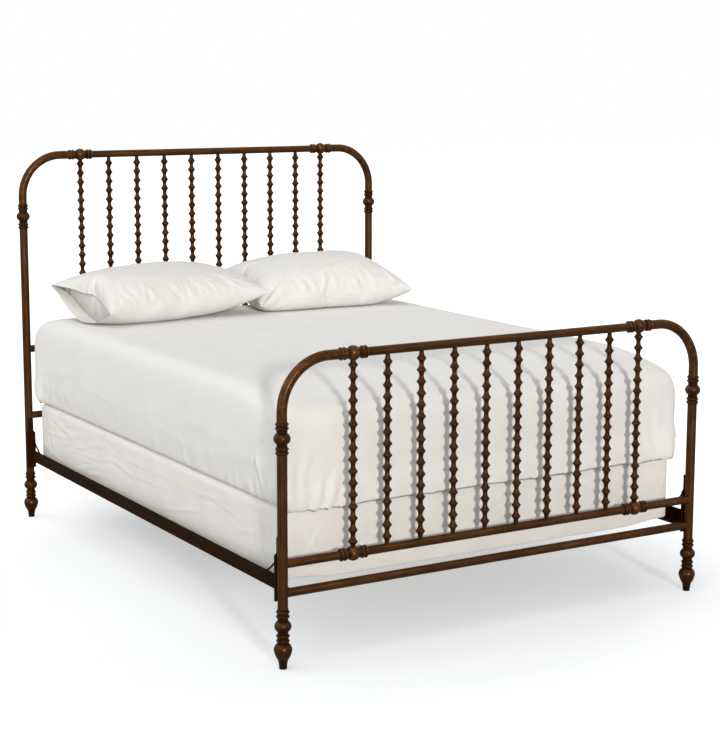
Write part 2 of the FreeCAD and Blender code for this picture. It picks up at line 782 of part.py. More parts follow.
brace_drop = size.brace_rise - size.rail_web
brace_chord = (size.brace_reach * size.brace_reach + brace_drop * brace_drop).root()
brace_depth = (size.brace_radius * size.brace_radius - brace_chord * brace_chord / 4).root()
brace_centre_y = size.brace_reach / 2 + brace_depth * brace_drop / brace_chord
brace_centre_z = rail_top + brace_drop / 2 + brace_depth * size.brace_reach / brace_chord
hoop = doc.addObject("Part::Torus", "hoop")
bind(hoop, Radius1=size.brace_radius, Radius2=size.brace_diameter / 2)
place(hoop, ZERO, brace_centre_y, brace_centre_z, TO_X)
room_reach = size.brace_reach * BRACE_ROOM_SHARE
brace_room = box((-size.brace_diameter, ZERO, rail_top + size.weld_gap),
                 (size.brace_diameter * 2, room_reach, brace_drop * BRACE_ROOM_SHARE))
brace = doc.addObject("Part::Common", "brace")
brace.Base = hoop
brace.Tool = brace_room
braces = []
for x, y, turn in bed_corners:
    brace_x = x + size.rail_thickness / 2 if x.value < 0 else x - size.rail_thickness / 2
    braces.append(copy_of(brace, (brace_x, -rail_end if y.value < 0 else rail_end, ZERO), turn))
sub_part("rail_braces", group(braces))

# Bolts of the side rails: through the end plates into the posts, and through the splices


def bolt(diameter, head_width, head_height, length):
    """A hexagon bolt along +Z, with its head below zero."""
    head = hexagon(head_width, head_height, (ZERO, ZERO, -head_height))
    return fuse(head, rod(diameter, length, (ZERO, ZERO, ZERO)))


end_bolt_length = size.end_plate_thickness + size.tube_wall + size.end_bolt_tip
end_bolt = bolt(size.bolt_diameter, size.bolt_head_width, size.bolt_head_height, end_bolt_length)
splice_bolt_length = size.splice_thickness + size.weld_gap + size.rail_thickness
splice_bolt = bolt(size.bolt_diameter, size.bolt_head_width, size.bolt_head_height, splice_bolt_length)
rail_bolts = []
for x, y, turn in bed_corners:
    outward = -1 if y.value < 0 else 1
    facing = FreeCAD.Rotation(FreeCAD.Vector(1, 0, 0), -90 * outward)
    bolt_y = rail_end * outward
    for height in end_bolt_heights:
        rail_bolts.append(copy_of(end_bolt, (x, bolt_y, height), facing))
splice_head_x = splice_x - size.splice_thickness
for outward in (-1, 1):
    facing = FreeCAD.Rotation(FreeCAD.Vector(0, 1, 0), 90 * outward)
    for y in splice_bolt_places:
        rail_bolts.append(copy_of(splice_bolt, (splice_head_x * outward, y, splice_height), facing))
sub_part("rail_bolts", group(rail_bolts))

# Cross slats on the rail flanges

slat_half = rail_x - size.rail_thickness - size.slat_end_gap
slat_top = flange_top + size.slat_height
for name, y in slat_places.items():
    run = size.cut_overrun
    wall = size.slat_wall
    low_y = y - size.slat_width / 2
    outside = box((-slat_half, low_y, flange_top), (slat_half * 2, size.slat_width, size.slat_height))
    inside = box(
        (-slat_half - run, low_y + wall, flange_top + wall),
        (slat_half * 2 + run * 2, size.slat_width - wall * 2, size.slat_height - wall * 2),
    )
    hollow = cut(outside, inside)
    holes = []
    for x in (-slat_bolt_x, slat_bolt_x):
        holes.append(rod(slat_bolt_hole, wall + run, (x, y, flange_top - run)))
    sub_part(f"cross_slat_{name}", cut(hollow, *holes))

# Centre legs under the middles of slats, with a screw glide in each leg

for name in LEGGED_SLATS:
    y = slat_places[name]
    run = size.cut_overrun
    leg_bore = size.leg_diameter - size.leg_wall * 2
    bush_top = size.leg_bottom_height + size.leg_bush_height
    stem_bore = size.glide_stem_diameter + size.thread_gap * 2
    leg = rod(size.leg_diameter, flange_top - size.leg_bottom_height, (ZERO, y, size.leg_bottom_height))
    leg_room = rod(leg_bore, flange_top - bush_top + run, (ZERO, y, bush_top))
    thread = rod(stem_bore, size.leg_bush_height + run * 2, (ZERO, y, size.leg_bottom_height - run))
    sub_part(f"centre_leg_{name}", cut(leg, fuse(leg_room, thread)))

    pad_radius = size.glide_pad_diameter / 2
    stem_radius = size.glide_stem_diameter / 2
    dome_rise = size.glide_pad_height - size.glide_pad_rim
    dome_run = pad_radius - stem_radius
    dome_chord = (dome_rise * dome_rise + dome_run * dome_run).root()
    glide_outline = [
        (ZERO, ZERO),
        (pad_radius, ZERO),
        (pad_radius, size.glide_pad_rim, dome_chord, 1),
        (stem_radius, size.glide_pad_height),
        (stem_radius, size.glide_stem_top_height),
        (ZERO, size.glide_stem_top_height),
    ]
    glide = turned(f"glide_{name}_turned", glide_outline)
    sub_part(f"glide_{name}", place(glide, ZERO, y, ZERO))

# Slat fasteners: bolts up through flange and slat, with nuts inside the slat

slat_bolt_length = size.rail_thickness + size.slat_wall + size.slat_nut_height + size.slat_bolt_tip
slat_bolt = bolt(size.slat_bolt_diameter, size.slat_bolt_head_width,
                 size.slat_bolt_head_height, slat_bolt_length)
nut_blank = hexagon(size.slat_bolt_head_width, size.slat_nut_height, (ZERO, ZERO, ZERO))
nut_bore = rod(size.slat_bolt_diameter + size.thread_gap * 2, size.slat_nut_height + size.cut_overrun * 2,
               (ZERO, ZERO, -size.cut_overrun))
slat_nut = cut(nut_blank, nut_bore)
slat_fasteners = []
for y in slat_places.values():
    for x in (-slat_bolt_x, slat_bolt_x):
        slat_fasteners.append(copy_of(slat_bolt, (x, y, rail_low)))
        slat_fasteners.append(copy_of(slat_nut, (x, y, flange_top + size.slat_wall)))
sub_part("slat_fasteners", group(slat_fasteners))

# Soft blocks: padded outlines with rounded edges, for the box spring, the mattress and the sheet


def rounded_rectangle(half_x, half_y, corner):
    return [
        (-half_x + corner, -half_y),
        (half_x - corner, -half_y, corner, 1),
        (half_x, -half_y + corner),
        (half_x, half_y - corner, corner, 1),
        (half_x - corner, half_y),
        (-half_x + corner, half_y, corner, 1),
        (-half_x, half_y - corner),
        (-half_x, -half_y + corner, corner, 1),
    ]


def loft(body, plane, levels, kind):
    """A ruled loft through outlines at given offsets from a plane, added to the body or taken from it."""
    sketches = [draw(new_sketch(body, plane, offset), outline) for offset, outline in levels]
    form = body.newObject(f"PartDesign::{kind}Loft", "loft")
    form.Profile = sketches[0]
    form.Sections = sketches[1:]
    form.Ruled = True


def outer_face(feature, side):
    """The highest face of a feature for side 1, the lowest for side -1."""
    doc.recompute()
    faces = feature.Shape.Faces
    best = max(range(len(faces)), key=lambda number: faces[number].CenterOfMass.z * side)
    return f"Face{best + 1}"


def soft_block(name, half_x, half_y, height, corner, edge_round, grow):
    """A block from zero up with rounded edges, swollen outwards by grow all over."""
    body = new_body(name)
    outline = rounded_rectangle(half_x + grow, half_y + grow, corner + grow)
    feature = body.newObject("PartDesign::Pad", "pad")
    feature.Profile = draw(new_sketch(body, datum(body, "XY_Plane"), -grow), outline)
    bind(feature, Length=height + grow * 2)
    for side in (-1, 1):
        face = outer_face(feature, side)
        edge = body.newObject("PartDesign::Fillet", "rounded_edge")
        edge.Base = (feature, [face])
        bind(edge, Radius=edge_round + grow)
        feature = edge
    return body


bed_half_x = size.bed_width / 2
bed_half_y = size.bed_length / 2
box_low = slat_top + size.rest_gap

# Box spring: a boarded wooden frame and a wire grid, in a tight cloth cover


def box_skin(name, grow):
    return soft_block(name, bed_half_x, bed_half_y, size.box_height, size.box_corner,
                      size.box_edge, grow)


cover = cut(box_skin("cover", ZERO), box_skin("cover_room", -size.cover_thickness))
sub_part("box_spring_cover", place(cover, ZERO, bed_y, box_low))

# The frame's square corners stay inside the rounded edges of the cover's corners
corner_reach = size.box_corner - size.box_edge - size.cover_thickness - size.cloth_gap
frame_inset = size.box_corner - corner_reach / Size(math.sqrt(2), "sqrt(2)")
frame_low = box_low + size.cover_thickness + size.weld_gap
frame_half_x = bed_half_x - frame_inset
frame_half_y = bed_half_y - frame_inset
board_size = size.box_board
frame_top = frame_low + size.box_frame_height
rim = box((-frame_half_x, bed_y - frame_half_y, frame_low),
          (frame_half_x * 2, frame_half_y * 2, size.box_frame_height))
room_half_x = frame_half_x - board_size
room_half_y = frame_half_y - board_size
rim_room = box((-room_half_x, bed_y - room_half_y, frame_low - size.cut_overrun),
               (room_half_x * 2, room_half_y * 2, size.box_frame_height + size.cut_overrun * 2))
boards = [cut(rim, rim_room)]
for number in range(BOX_CROSS_COUNT):
    share = (number + 1) / (BOX_CROSS_COUNT + 1)
    middle = bed_y - frame_half_y + frame_half_y * 2 * share
    start = (-frame_half_x, middle - size.box_cross_board / 2, frame_low)
    boards.append(box(start, (frame_half_x * 2, size.box_cross_board, board_size)))
sub_part("box_spring_frame", fuse(*boards))

wire = size.grid_wire
grid_top = box_low + size.box_height - size.cover_thickness - size.cloth_gap
grid_low = frame_top + size.weld_gap
grid_wires = []
for number in range(GRID_LENGTH_COUNT):
    share = number / (GRID_LENGTH_COUNT - 1)
    x = -frame_half_x + (frame_half_x * 2 - wire) * share
    grid_wires.append(box((x, bed_y - frame_half_y, grid_top - wire), (wire, frame_half_y * 2, wire)))
for number in range(GRID_CROSS_COUNT):
    share = number / (GRID_CROSS_COUNT - 1)
    y = bed_y - frame_half_y + (frame_half_y * 2 - wire) * share
    grid_wires.append(box((-frame_half_x, y, grid_top - wire), (frame_half_x * 2, wire, wire)))
    for x in (-frame_half_x, frame_half_x - wire):
        grid_wires.append(box((x, y, grid_low), (wire, wire, grid_top - grid_low)))
sub_part("box_spring_grid", fuse(*grid_wires))

# Mattress: an upholstered shell with full sides, soft shoulders and a low crown, over rows of springs

mattress_low = box_low + size.box_height + size.rest_gap + size.sheet_thickness + size.cloth_gap
mattress_half_x = bed_half_x + size.mattress_side_bulge
mattress_half_y = bed_half_y + size.mattress_end_bulge


def mattress_form(name, grow):
    """The mattress from zero up, swollen outwards by grow all over."""
    body = new_body(name)
    levels = []
    for height_share, inset_share in zip(MATTRESS_HEIGHT_SHARES, MATTRESS_INSET_SHARES):
        inset = size.mattress_shoulder * inset_share
        corner = size.mattress_corner + inset * MATTRESS_CORNER_SHARE + grow
        outline = rounded_rectangle(mattress_half_x - inset + grow, mattress_half_y - inset + grow, corner)
        levels.append((size.mattress_height * height_share + grow * (2 * height_share - 1), outline))
    loft(body, datum(body, "XY_Plane"), levels, "Additive")
    return body


mattress = cut(mattress_form("mattress_form", ZERO), mattress_form("mattress_room", -size.mattress_wall))
sub_part("mattress", place(mattress, ZERO, bed_y, mattress_low))

coil_low = size.mattress_wall + size.weld_gap
coil_height = size.mattress_height - size.coil_headroom - size.mattress_wall * 2 - size.rest_gap * 2
coil_sleeve = tube(size.coil_diameter, size.coil_sleeve, coil_height, (ZERO, ZERO, ZERO))
coils = []
for column in range(COIL_COLUMN_COUNT):
    x = (mattress_half_x - size.coil_edge_inset) * (2 * column / (COIL_COLUMN_COUNT - 1) - 1)
    for row in range(COIL_ROW_COUNT):
        y = (mattress_half_y - size.coil_edge_inset) * (2 * row / (COIL_ROW_COUNT - 1) - 1)
        coils.append(copy_of(coil_sleeve, (x, bed_y + y, mattress_low + coil_low)))
sub_part("mattress_springs", group(coils))

# Fitted sheet: a skin round the mattress, open underneath inside its tuck

skin = mattress_form("sheet_form", size.cloth_gap + size.sheet_thickness)
skin_room = mattress_form("sheet_room", size.cloth_gap)
opening_half_x = mattress_half_x - size.sheet_tuck
opening_half_y = mattress_half_y - size.sheet_tuck
opening = box((-opening_half_x, -opening_half_y, -size.mattress_wall),
              (opening_half_x * 2, opening_half_y * 2, size.mattress_wall * 2))
fitted_sheet = cut(skin, fuse(skin_room, opening))
sub_part("fitted_sheet", place(fitted_sheet, ZERO, bed_y, mattress_low))

# Pillows: crowned cushions with thin ends, each in a case that is open at one end. The right one's
# open end is turned in

pillow_low = mattress_low + size.mattress_height + size.cloth_gap + size.sheet_thickness + size.rest_gap
seam_height = pillow_low + size.case_thickness + size.cloth_gap + size.pillow_belly
case_mouths = {"left": size.case_mouth, "right": size.case_turn_in}
pillow_gaps = size.pillow_left_margin + size.pillow_between + size.pillow_right_margin
pillow_length = (size.bed_width - pillow_gaps - size.case_mouth - size.case_turn_in) / 2
pillow_end = size.bed_width / 2 - size.pillow_right_margin
pillow_back = bed_y + bed_half_y - size.pillow_depth / 2


def pillow_section(depth_share, swell_share, grow):
    """Two arcs that meet at the front and back edge: the crown above, the belly below."""
    half = size.pillow_depth * (depth_share / 2) + grow
    crown = arc_radius(size.pillow_crown * swell_share + grow, half)
    belly = arc_radius(size.pillow_belly * swell_share + grow, half)
    return [(-half, ZERO, belly, 1), (half, ZERO, crown, 1)]


def pillow_levels(grow, mouth=ZERO):
    """Sections along a pillow, from a mouth before its first end where it has one."""
    half = pillow_length / 2
    levels = []
    if mouth.value > 0:
        levels.append((-half - mouth, pillow_section(MOUTH_DEPTH_SHARE, MOUTH_SWELL_SHARE, grow)))
    shares = zip(PILLOW_STATION_SHARES, PILLOW_DEPTH_SHARES, PILLOW_SWELL_SHARES)
    for station_share, depth_share, swell_share in shares:
        offset = pillow_length * station_share
        if station_share == PILLOW_STATION_SHARES[0] and mouth.value == 0:
            offset = offset - grow
        if station_share == PILLOW_STATION_SHARES[-1]:
            offset = offset + grow
        levels.append((offset, pillow_section(depth_share, swell_share, grow)))
    return levels


left_pillow_x = size.pillow_left_margin + size.case_mouth + pillow_length / 2 - size.bed_width / 2
pillow_places = {
    "left": (left_pillow_x, pillow_back - size.pillow_left_back, PILLOW_LEFT_TURN),
    "right": (pillow_end - pillow_length / 2, pillow_back - size.pillow_right_back, PILLOW_RIGHT_TURN),
}
for side, (x, y, turn) in pillow_places.items():
    pillow = new_body(f"pillow_{side}_ticking")
    loft(pillow, datum(pillow, "YZ_Plane"), pillow_levels(ZERO), "Additive")
    loft(pillow, datum(pillow, "YZ_Plane"), pillow_levels(-size.pillow_wall), "Subtractive")
    sub_part(f"pillow_{side}", place(pillow, x, y, seam_height, turn))

    case = new_body(f"pillow_{side}_slip")
    case_outside = pillow_levels(size.cloth_gap + size.case_thickness, case_mouths[side])
    case_room = pillow_levels(size.cloth_gap, case_mouths[side] + size.cut_overrun)
    loft(case, datum(case, "YZ_Plane"), case_outside, "Additive")
    loft(case, datum(case, "YZ_Plane"), case_room, "Subtractive")
    sub_part(f"pillow_{side}_case", place(case, x, y, seam_height, turn))

# Check the document, then write each piece

doc.recompute()
for thing in doc.Objects:
    if "Invalid" in thing.State or "Error" in thing.State:
        raise RuntimeError(f"{thing.Label} failed: {thing.State}")
for thing in sub_parts:
    if thing.Shape.isNull() or not thing.Shape.isValid():
        raise RuntimeError(f"{thing.Label} has no valid shape")

os.makedirs("parts", exist_ok=True)
for thing in sub_parts:
    thing.Shape.exportStep(f"parts/{thing.Label}.step")
    print(thing.Label, len(thing.Shape.Solids), round(thing.Shape.Volume))
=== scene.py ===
import math
import random

import bpy
import numpy as np
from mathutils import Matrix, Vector


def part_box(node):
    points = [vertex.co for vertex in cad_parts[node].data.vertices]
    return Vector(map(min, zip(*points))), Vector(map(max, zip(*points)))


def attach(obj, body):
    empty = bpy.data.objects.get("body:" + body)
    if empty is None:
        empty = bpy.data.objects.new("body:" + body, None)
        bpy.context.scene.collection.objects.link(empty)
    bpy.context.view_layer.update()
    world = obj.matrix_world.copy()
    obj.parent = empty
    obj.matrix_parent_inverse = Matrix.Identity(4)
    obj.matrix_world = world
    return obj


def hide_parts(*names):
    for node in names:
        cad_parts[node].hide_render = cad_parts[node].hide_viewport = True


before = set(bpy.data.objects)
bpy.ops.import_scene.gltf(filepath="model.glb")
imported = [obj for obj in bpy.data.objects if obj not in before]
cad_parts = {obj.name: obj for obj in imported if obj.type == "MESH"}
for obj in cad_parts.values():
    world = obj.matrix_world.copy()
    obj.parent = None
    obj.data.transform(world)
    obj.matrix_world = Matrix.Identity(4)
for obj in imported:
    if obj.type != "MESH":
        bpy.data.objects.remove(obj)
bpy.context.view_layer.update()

# Headboard and footboard: welded steel tube, bobbin-turned spindles, cast collars and cast feet.
# The stead is sprayed a dark bronze brown and rubbed back by hand along its length, so that copper
# shows in streaks and on the crests, while the paint stays darkest in the grooves and necks.

bronze_groove = (20, 10, 4)
bronze_dark = (43, 24, 9)
bronze_brown = (74, 46, 21)
bronze_copper = (120, 80, 42)
streak_length = 0.16
streak_width = 0.0035
post_low, post_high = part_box("head_post_left")
post_axis = (post_low + post_high) / 2
spindle_low, spindle_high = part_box("head_spindles")
bead_radius = (spindle_high.y - spindle_low.y) / 2
spindle_count = 10
spindle_spacing = (spindle_high.x - spindle_low.x - 2 * bead_radius) / (spindle_count - 1)


def linear(colour):
    """A colour read off a chart, 0 to 255, as the light values that a shader mixes."""
    shares = [value / 255 for value in colour]
    return [s / 12.92 if s <= 0.04045 else ((s + 0.055) / 1.055) ** 2.4 for s in shares]


def new_finish(name, roughness, metallic=0.0, sheen=0.0):
    """A material with its shader's plain values set. Returns both; the shader knows its tree."""
    material = bpy.data.materials.new(name)
    material.use_nodes = True
    shader = material.node_tree.nodes["Principled BSDF"]
    shader.inputs["Roughness"].default_value = roughness
    shader.inputs["Metallic"].default_value = metallic
    shader.inputs["Sheen Weight"].default_value = sheen
    return material, shader


def add_node(shader, kind, inputs, **settings):
    """Adds a node to a shader's tree: an input that is a socket is linked, any other is set."""
    tree = shader.id_data
    node = tree.nodes.new(f"ShaderNode{kind}")
    for name, value in settings.items():
        setattr(node, name, value)
    for name, value in inputs.items():
        if isinstance(value, bpy.types.NodeSocket):
            tree.links.new(value, node.inputs[name])
        else:
            node.inputs[name].default_value = value
    return node


def object_place(shader):
    return add_node(shader, "TexCoord", {}).outputs["Object"]


def vector_sum(shader, operation, first, second=(0, 0, 0), third=(0, 0, 0)):
    node = add_node(shader, "VectorMath", {0: first, 1: second, 2: third}, operation=operation)
    return node.outputs["Value" if operation == "LENGTH" else "Vector"]


def number_sum(shader, operation, first, second=0.0):
    return add_node(shader, "Math", {0: first, 1: second}, operation=operation).outputs["Value"]


def noise(shader, place, size, detail=3.0, roughness=0.5):
    """Cloudy variation whose blotches are about as wide as size: one length, or one for each axis."""
    sizes = size if isinstance(size, tuple) else (size, size, size)
    scaled = vector_sum(shader, "DIVIDE", place, sizes)
    inputs = {"Vector": scaled, "Scale": 1.0, "Detail": detail, "Roughness": roughness}
    return add_node(shader, "TexNoise", inputs).outputs["Fac"]


def spread(shader, value, low, high, to_low=0.0, to_high=1.0):
    """Stretches a value from one range to another, and holds it there."""
    inputs = {"Value": value, "From Min": low, "From Max": high, "To Min": to_low, "To Max": to_high}
    return add_node(shader, "MapRange", inputs).outputs["Result"]


def ramp(shader, factor, stops):
    """Colours at places along a factor from 0 to 1."""
    node = add_node(shader, "ValToRGB", {"Fac": factor})
    elements = node.color_ramp.elements
    while len(elements) < len(stops):
        elements.new(1.0)
    for element, (place, colour) in zip(elements, stops):
        element.position = place
        element.color = (*linear(colour), 1)
    return node.outputs["Color"]


def mix(shader, factor, first, second):
    """Lays the second colour over the first by a factor."""
    inputs = {"Fac": factor, "Color1": first, "Color2": second}
    return add_node(shader, "MixRGB", inputs).outputs["Color"]


def bump(shader, height, depth, strength=1.0):
    """Turns a height from 0 to 1 into relief of that depth."""
    inputs = {"Height": height, "Distance": depth, "Strength": strength}
    relief = add_node(shader, "Bump", inputs).outputs["Normal"]
    shader.id_data.links.new(relief, shader.inputs["Normal"])


def paint_over(shader, socket, value):
    shader.id_data.links.new(value, shader.inputs[socket])


def bronze(name, grain, radius=None, groove=0.0, crest=1.0, rub=0.3, settle=0.55, cover=0.0):
    """Rubbed bronze paint: grain gives the streaks' size along each axis, and radius is a function
    that gives the distance from a turned piece's axis, dark at its grooves as far as the paint settles
    there and copper at its crests as far as rub wears them. Cover is how much more paint is left on it."""
    material, shader = new_finish(name, roughness=0.36, metallic=0.65)
    shader.inputs["Specular IOR Level"].default_value = 0.12
    place = object_place(shader)
    streaks = noise(shader, place, grain, detail=5.0, roughness=0.65)
    clouds = noise(shader, place, 0.07, detail=2.0)
    tone = number_sum(shader, "ADD", number_sum(shader, "MULTIPLY", streaks, 0.75),
                      number_sum(shader, "MULTIPLY", clouds, 0.25))
    stops = [(0.3 + cover, bronze_dark), (0.52 + cover, bronze_brown), (0.74 + cover, bronze_copper)]
    colour = ramp(shader, tone, stops)
    if radius:
        proud = spread(shader, radius(shader, place), groove, crest)
        worn = number_sum(shader, "MULTIPLY", proud, spread(shader, streaks, 0.3, 0.7, 0.0, rub))
        colour = mix(shader, worn, colour, (*linear(bronze_copper), 1))
        colour = mix(shader, spread(shader, proud, 0.0, 0.35, settle, 0.0), colour, (*linear(bronze_groove), 1))
    paint_over(shader, "Base Color", colour)
    paint_over(shader, "Roughness", spread(shader, tone, 0.3, 0.7, 0.46, 0.27))
    bump(shader, noise(shader, place, 0.0022, detail=2.0), 0.00025, 0.5)
    return material


def from_post(shader, place):
    """Distance from the nearest post's axis."""
    offset = vector_sum(shader, "SUBTRACT", vector_sum(shader, "ABSOLUTE", place),
                        (-post_axis.x, post_axis.y, 0))
    return vector_sum(shader, "LENGTH", vector_sum(shader, "MULTIPLY", offset, (1, 1, 0)))


def from_spindle(shader, place):
    """Distance from the nearest spindle's axis."""
    folded = vector_sum(shader, "WRAP", vector_sum(shader, "ABSOLUTE", place),
                        (spindle_spacing, 10, 10), (0, -10, -10))
    offset = vector_sum(shader, "SUBTRACT", folded, (spindle_spacing / 2, post_axis.y, 0))
    return vector_sum(shader, "LENGTH", vector_sum(shader, "MULTIPLY", offset, (1, 1, 0)))


def from_level(height):
    """Distance from the axis of a level rail at a height."""
    def distance(shader, place):
        offset = vector_sum(shader, "SUBTRACT", vector_sum(shader, "ABSOLUTE", place),
                            (0, post_axis.y, height))
        return vector_sum(shader, "LENGTH", vector_sum(shader, "MULTIPLY", offset, (0, 1, 1)))
    return distance


def dress(node_name, material):
    """Gives a CAD node its material."""
    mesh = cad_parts[node_name].data
    mesh.materials.clear()
    mesh.materials.append(material)


upright_grain = (streak_width, streak_width, streak_length)
level_grain = (streak_length, streak_width, streak_width)
upright_bronze = bronze("bronze_posts", upright_grain)
level_bronze = bronze("bronze_rails", level_grain)
bent_bronze = bronze("bronze_corners", (0.02, 0.006, 0.02))
spindle_bronze = bronze("bronze_spindles", (0.006, 0.006, 0.03), from_spindle, groove=0.0075, crest=0.0148,
                        rub=0.0, settle=0.1, cover=0.09)
casting_bronze = bronze("bronze_castings", (0.012, 0.012, 0.008), from_post, groove=0.0185, crest=0.029,
                        rub=0.0, cover=0.07)
for board in ("head", "foot"):
    for side in ("left", "right"):
        dress(f"{board}_post_{side}", upright_bronze)
        dress(f"{board}_corner_{side}", bent_bronze)
        dress(f"{board}_post_collar_{side}", casting_bronze)
        dress(f"{board}_cast_foot_{side}", casting_bronze)
    for rail in ("top", "rail"):
        low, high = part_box(f"{board}_{rail}_collar_left")
        height = (low.z + high.z) / 2
        collar_bronze = bronze(f"bronze_{board}_{rail}_collars", (0.008, 0.012, 0.012),
                               from_level(height), groove=0.0165, crest=0.0225)
        for side in ("left", "right"):
            dress(f"{board}_{rail}_collar_{side}", collar_bronze)
    for rail in ("top_rail", "spindle_rail", "low_rail"):
        dress(f"{board}_{rail}", level_bronze)
    dress(f"{board}_spindles", spindle_bronze)

# Side rails: rolled angle iron in two spliced lengths, with end plates and bent rod braces.
# Brushed with a flat brown-black paint, in streaks along its length that run from black to a warmer brown.

rail_black = (27, 13, 3)
rail_brown = (48, 27, 8)
rail_paint, shader = new_finish("rail_paint", roughness=0.6)
shader.inputs["Specular IOR Level"].default_value = 0.02
place = object_place(shader)
brushing = noise(shader, place, (0.006, 0.3, 0.004), detail=4.0, roughness=0.6)
paint_over(shader, "Base Color", ramp(shader, brushing, [(0.3, rail_black), (0.75, rail_brown)]))
paint_over(shader, "Roughness", spread(shader, brushing, 0.3, 0.7, 0.68, 0.5))
bump(shader, noise(shader, place, 0.003), 0.0003, 0.4)
for side in ("left", "right"):
    for half in ("head", "foot"):
        dress(f"side_rail_{side}_{half}", rail_paint)
for name in ("rail_splice_plates", "rail_end_plates", "rail_braces"):
    dress(name, rail_paint)

# Slats, legs and fasteners: rolled steel in the same brown-black paint, blackened bolts in the rails,
# zinc-plated ones in the slats, and grey moulded glides on steel stems. The box spring hides most of them.

oxide_black = (28, 18, 9)
oxide_brown = (44, 29, 16)
blackened, shader = new_finish("bolt_black", roughness=0.6, metallic=0.2)
shader.inputs["Specular IOR Level"].default_value = 0.05
bloom = noise(shader, object_place(shader), 0.004, detail=4.0)
paint_over(shader, "Base Color", ramp(shader, bloom, [(0.3, oxide_black), (0.7, oxide_brown)]))
bump(shader, bloom, 0.0001, 0.3)
zinc_grey = (150, 148, 142)
zinc_dark = (104, 101, 96)
zinc, shader = new_finish("bolt_zinc", roughness=0.38, metallic=0.9)
place = object_place(shader)
bloom = noise(shader, place, 0.004, detail=4.0)
paint_over(shader, "Base Color", ramp(shader, bloom, [(0.3, zinc_dark), (0.7, zinc_grey)]))
paint_over(shader, "Roughness", spread(shader, bloom, 0.3, 0.7, 0.5, 0.3))
bump(shader, bloom, 0.0001, 0.3)
glide_grey = (74, 73, 71)
glide_pale = (92, 91, 88)
moulded, shader = new_finish("glide_plastic", roughness=0.55)
grain = noise(shader, object_place(shader), 0.0012, detail=2.0)
paint_over(shader, "Base Color", ramp(shader, grain, [(0.3, glide_grey), (0.7, glide_pale)]))
bump(shader, grain, 0.0002, 0.4)
for slat in ("head", "middle", "foot"):
    dress(f"cross_slat_{slat}", rail_paint)
for leg in ("head", "middle"):
    dress(f"centre_leg_{leg}", rail_paint)
    dress(f"glide_{leg}", moulded)
dress("rail_bolts", blackened)
dress("slat_fasteners", zinc)

# Inside of the box spring: a frame of planed softwood boards with cross boards, and a grid of bare
# spring wire on it. The cover hides both.

wood_pale = (206, 172, 124)
wood_dark = (168, 126, 80)
softwood, shader = new_finish("box_wood", roughness=0.65)
place = object_place(shader)
rings = noise(shader, place, (0.5, 0.5, 0.006), detail=5.0, roughness=0.6)
paint_over(shader, "Base Color", ramp(shader, rings, [(0.35, wood_dark), (0.6, wood_pale)]))
bump(shader, rings, 0.0004, 0.4)
dress("box_spring_frame", softwood)
dress("box_spring_grid", zinc)

# Box spring cover: bleached cotton duck, cut as a box with a stitched seam and drawn over the frame, with
# a dust cloth stapled underneath. It is a little too big, and lies in fine slanting creases along the sides.

duck_white = (234, 232, 227)
duck_shade = (226, 223, 217)
duck_thread = 0.0011
cover_low, cover_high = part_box("box_spring_cover")
cover_corner = 0.020
cover_edge = 0.028
cover_low_edge = 0.007
cover_sag_foot = 0.012
cover_turn_under = 0.09
cover_step = 0.0075
cover_fall_step = 0.0068
cover_thickness = 0.0012
cover_swell = 0.0016
cover_wrinkle = 0.00035
cover_crease_counts = {"end": 16, "side": 26}
cover_crease_slants = {"end": 0.7, "side": 0.28}
cover_crease_lengths = {"end": 0.25, "side": 0.42}
cover_crease_width = (0.0045, 0.008)
cover_crease_height = (0.0008, 0.0022)
corner_crease_count = 3
corner_crease_place = (0.025, 0.17)
corner_crease_width = (0.006, 0.010)
corner_crease_height = (0.0015, 0.0036)
seam_drop = 0.072
seam_proud = 0.0009
seam_width = 0.004
seam_stitch = (0.0042, 0.0009, 0.0009)
seam_spacing = 0.006
dust_margin = 0.02
dust_levels = (0.0001, 0.0007)
square = ((-1, -1), (1, -1), (1, 1), (-1, 1))


def rounded_loop(half_x, half_y, corner, counts):
    """Points round a rounded rectangle, side by side, each side from corner middle to corner middle."""
    points = []
    for turn in range(4):
        along, away = (half_x, half_y) if turn % 2 == 0 else (half_y, half_x)
        straight = along - corner
        reach = straight + corner * math.pi / 4
        run = np.linspace(-reach, reach, counts[turn % 2], endpoint=False)
        bent = np.clip(np.abs(run) - straight, 0, None) / corner
        ahead = np.sign(run) * (np.minimum(np.abs(run), straight) + corner * np.sin(bent))
        out = away - corner + corner * np.cos(bent)
        c, s = ((1, 0), (0, 1), (-1, 0), (0, -1))[turn]
        points.append(np.stack([ahead * c + out * s, ahead * s - out * c], 1))
    return np.concatenate(points)


def patch(loop, counts, height):
    """A level grid of points that fills a loop, blended from its four sides."""
    nx, ny = counts
    south, east = loop[:nx + 1], loop[nx:nx + ny + 1]
    north = loop[nx + ny:2 * nx + ny + 1][::-1]
    west = np.concatenate([loop[2 * nx + ny:], loop[:1]])[::-1]
    u = np.linspace(0, 1, nx + 1)[None, :, None]
    v = np.linspace(0, 1, ny + 1)[:, None, None]
    ruled = (1 - v) * south + v * north + (1 - u) * west[:, None] + u * east[:, None]
    corners = ((1 - u) * (1 - v) * south[0] + u * (1 - v) * south[-1] + (1 - u) * v * north[0]
               + u * v * north[-1])
    plan = ruled - corners
    return np.concatenate([plan, np.full(plan.shape[:2] + (1,), height)], 2)


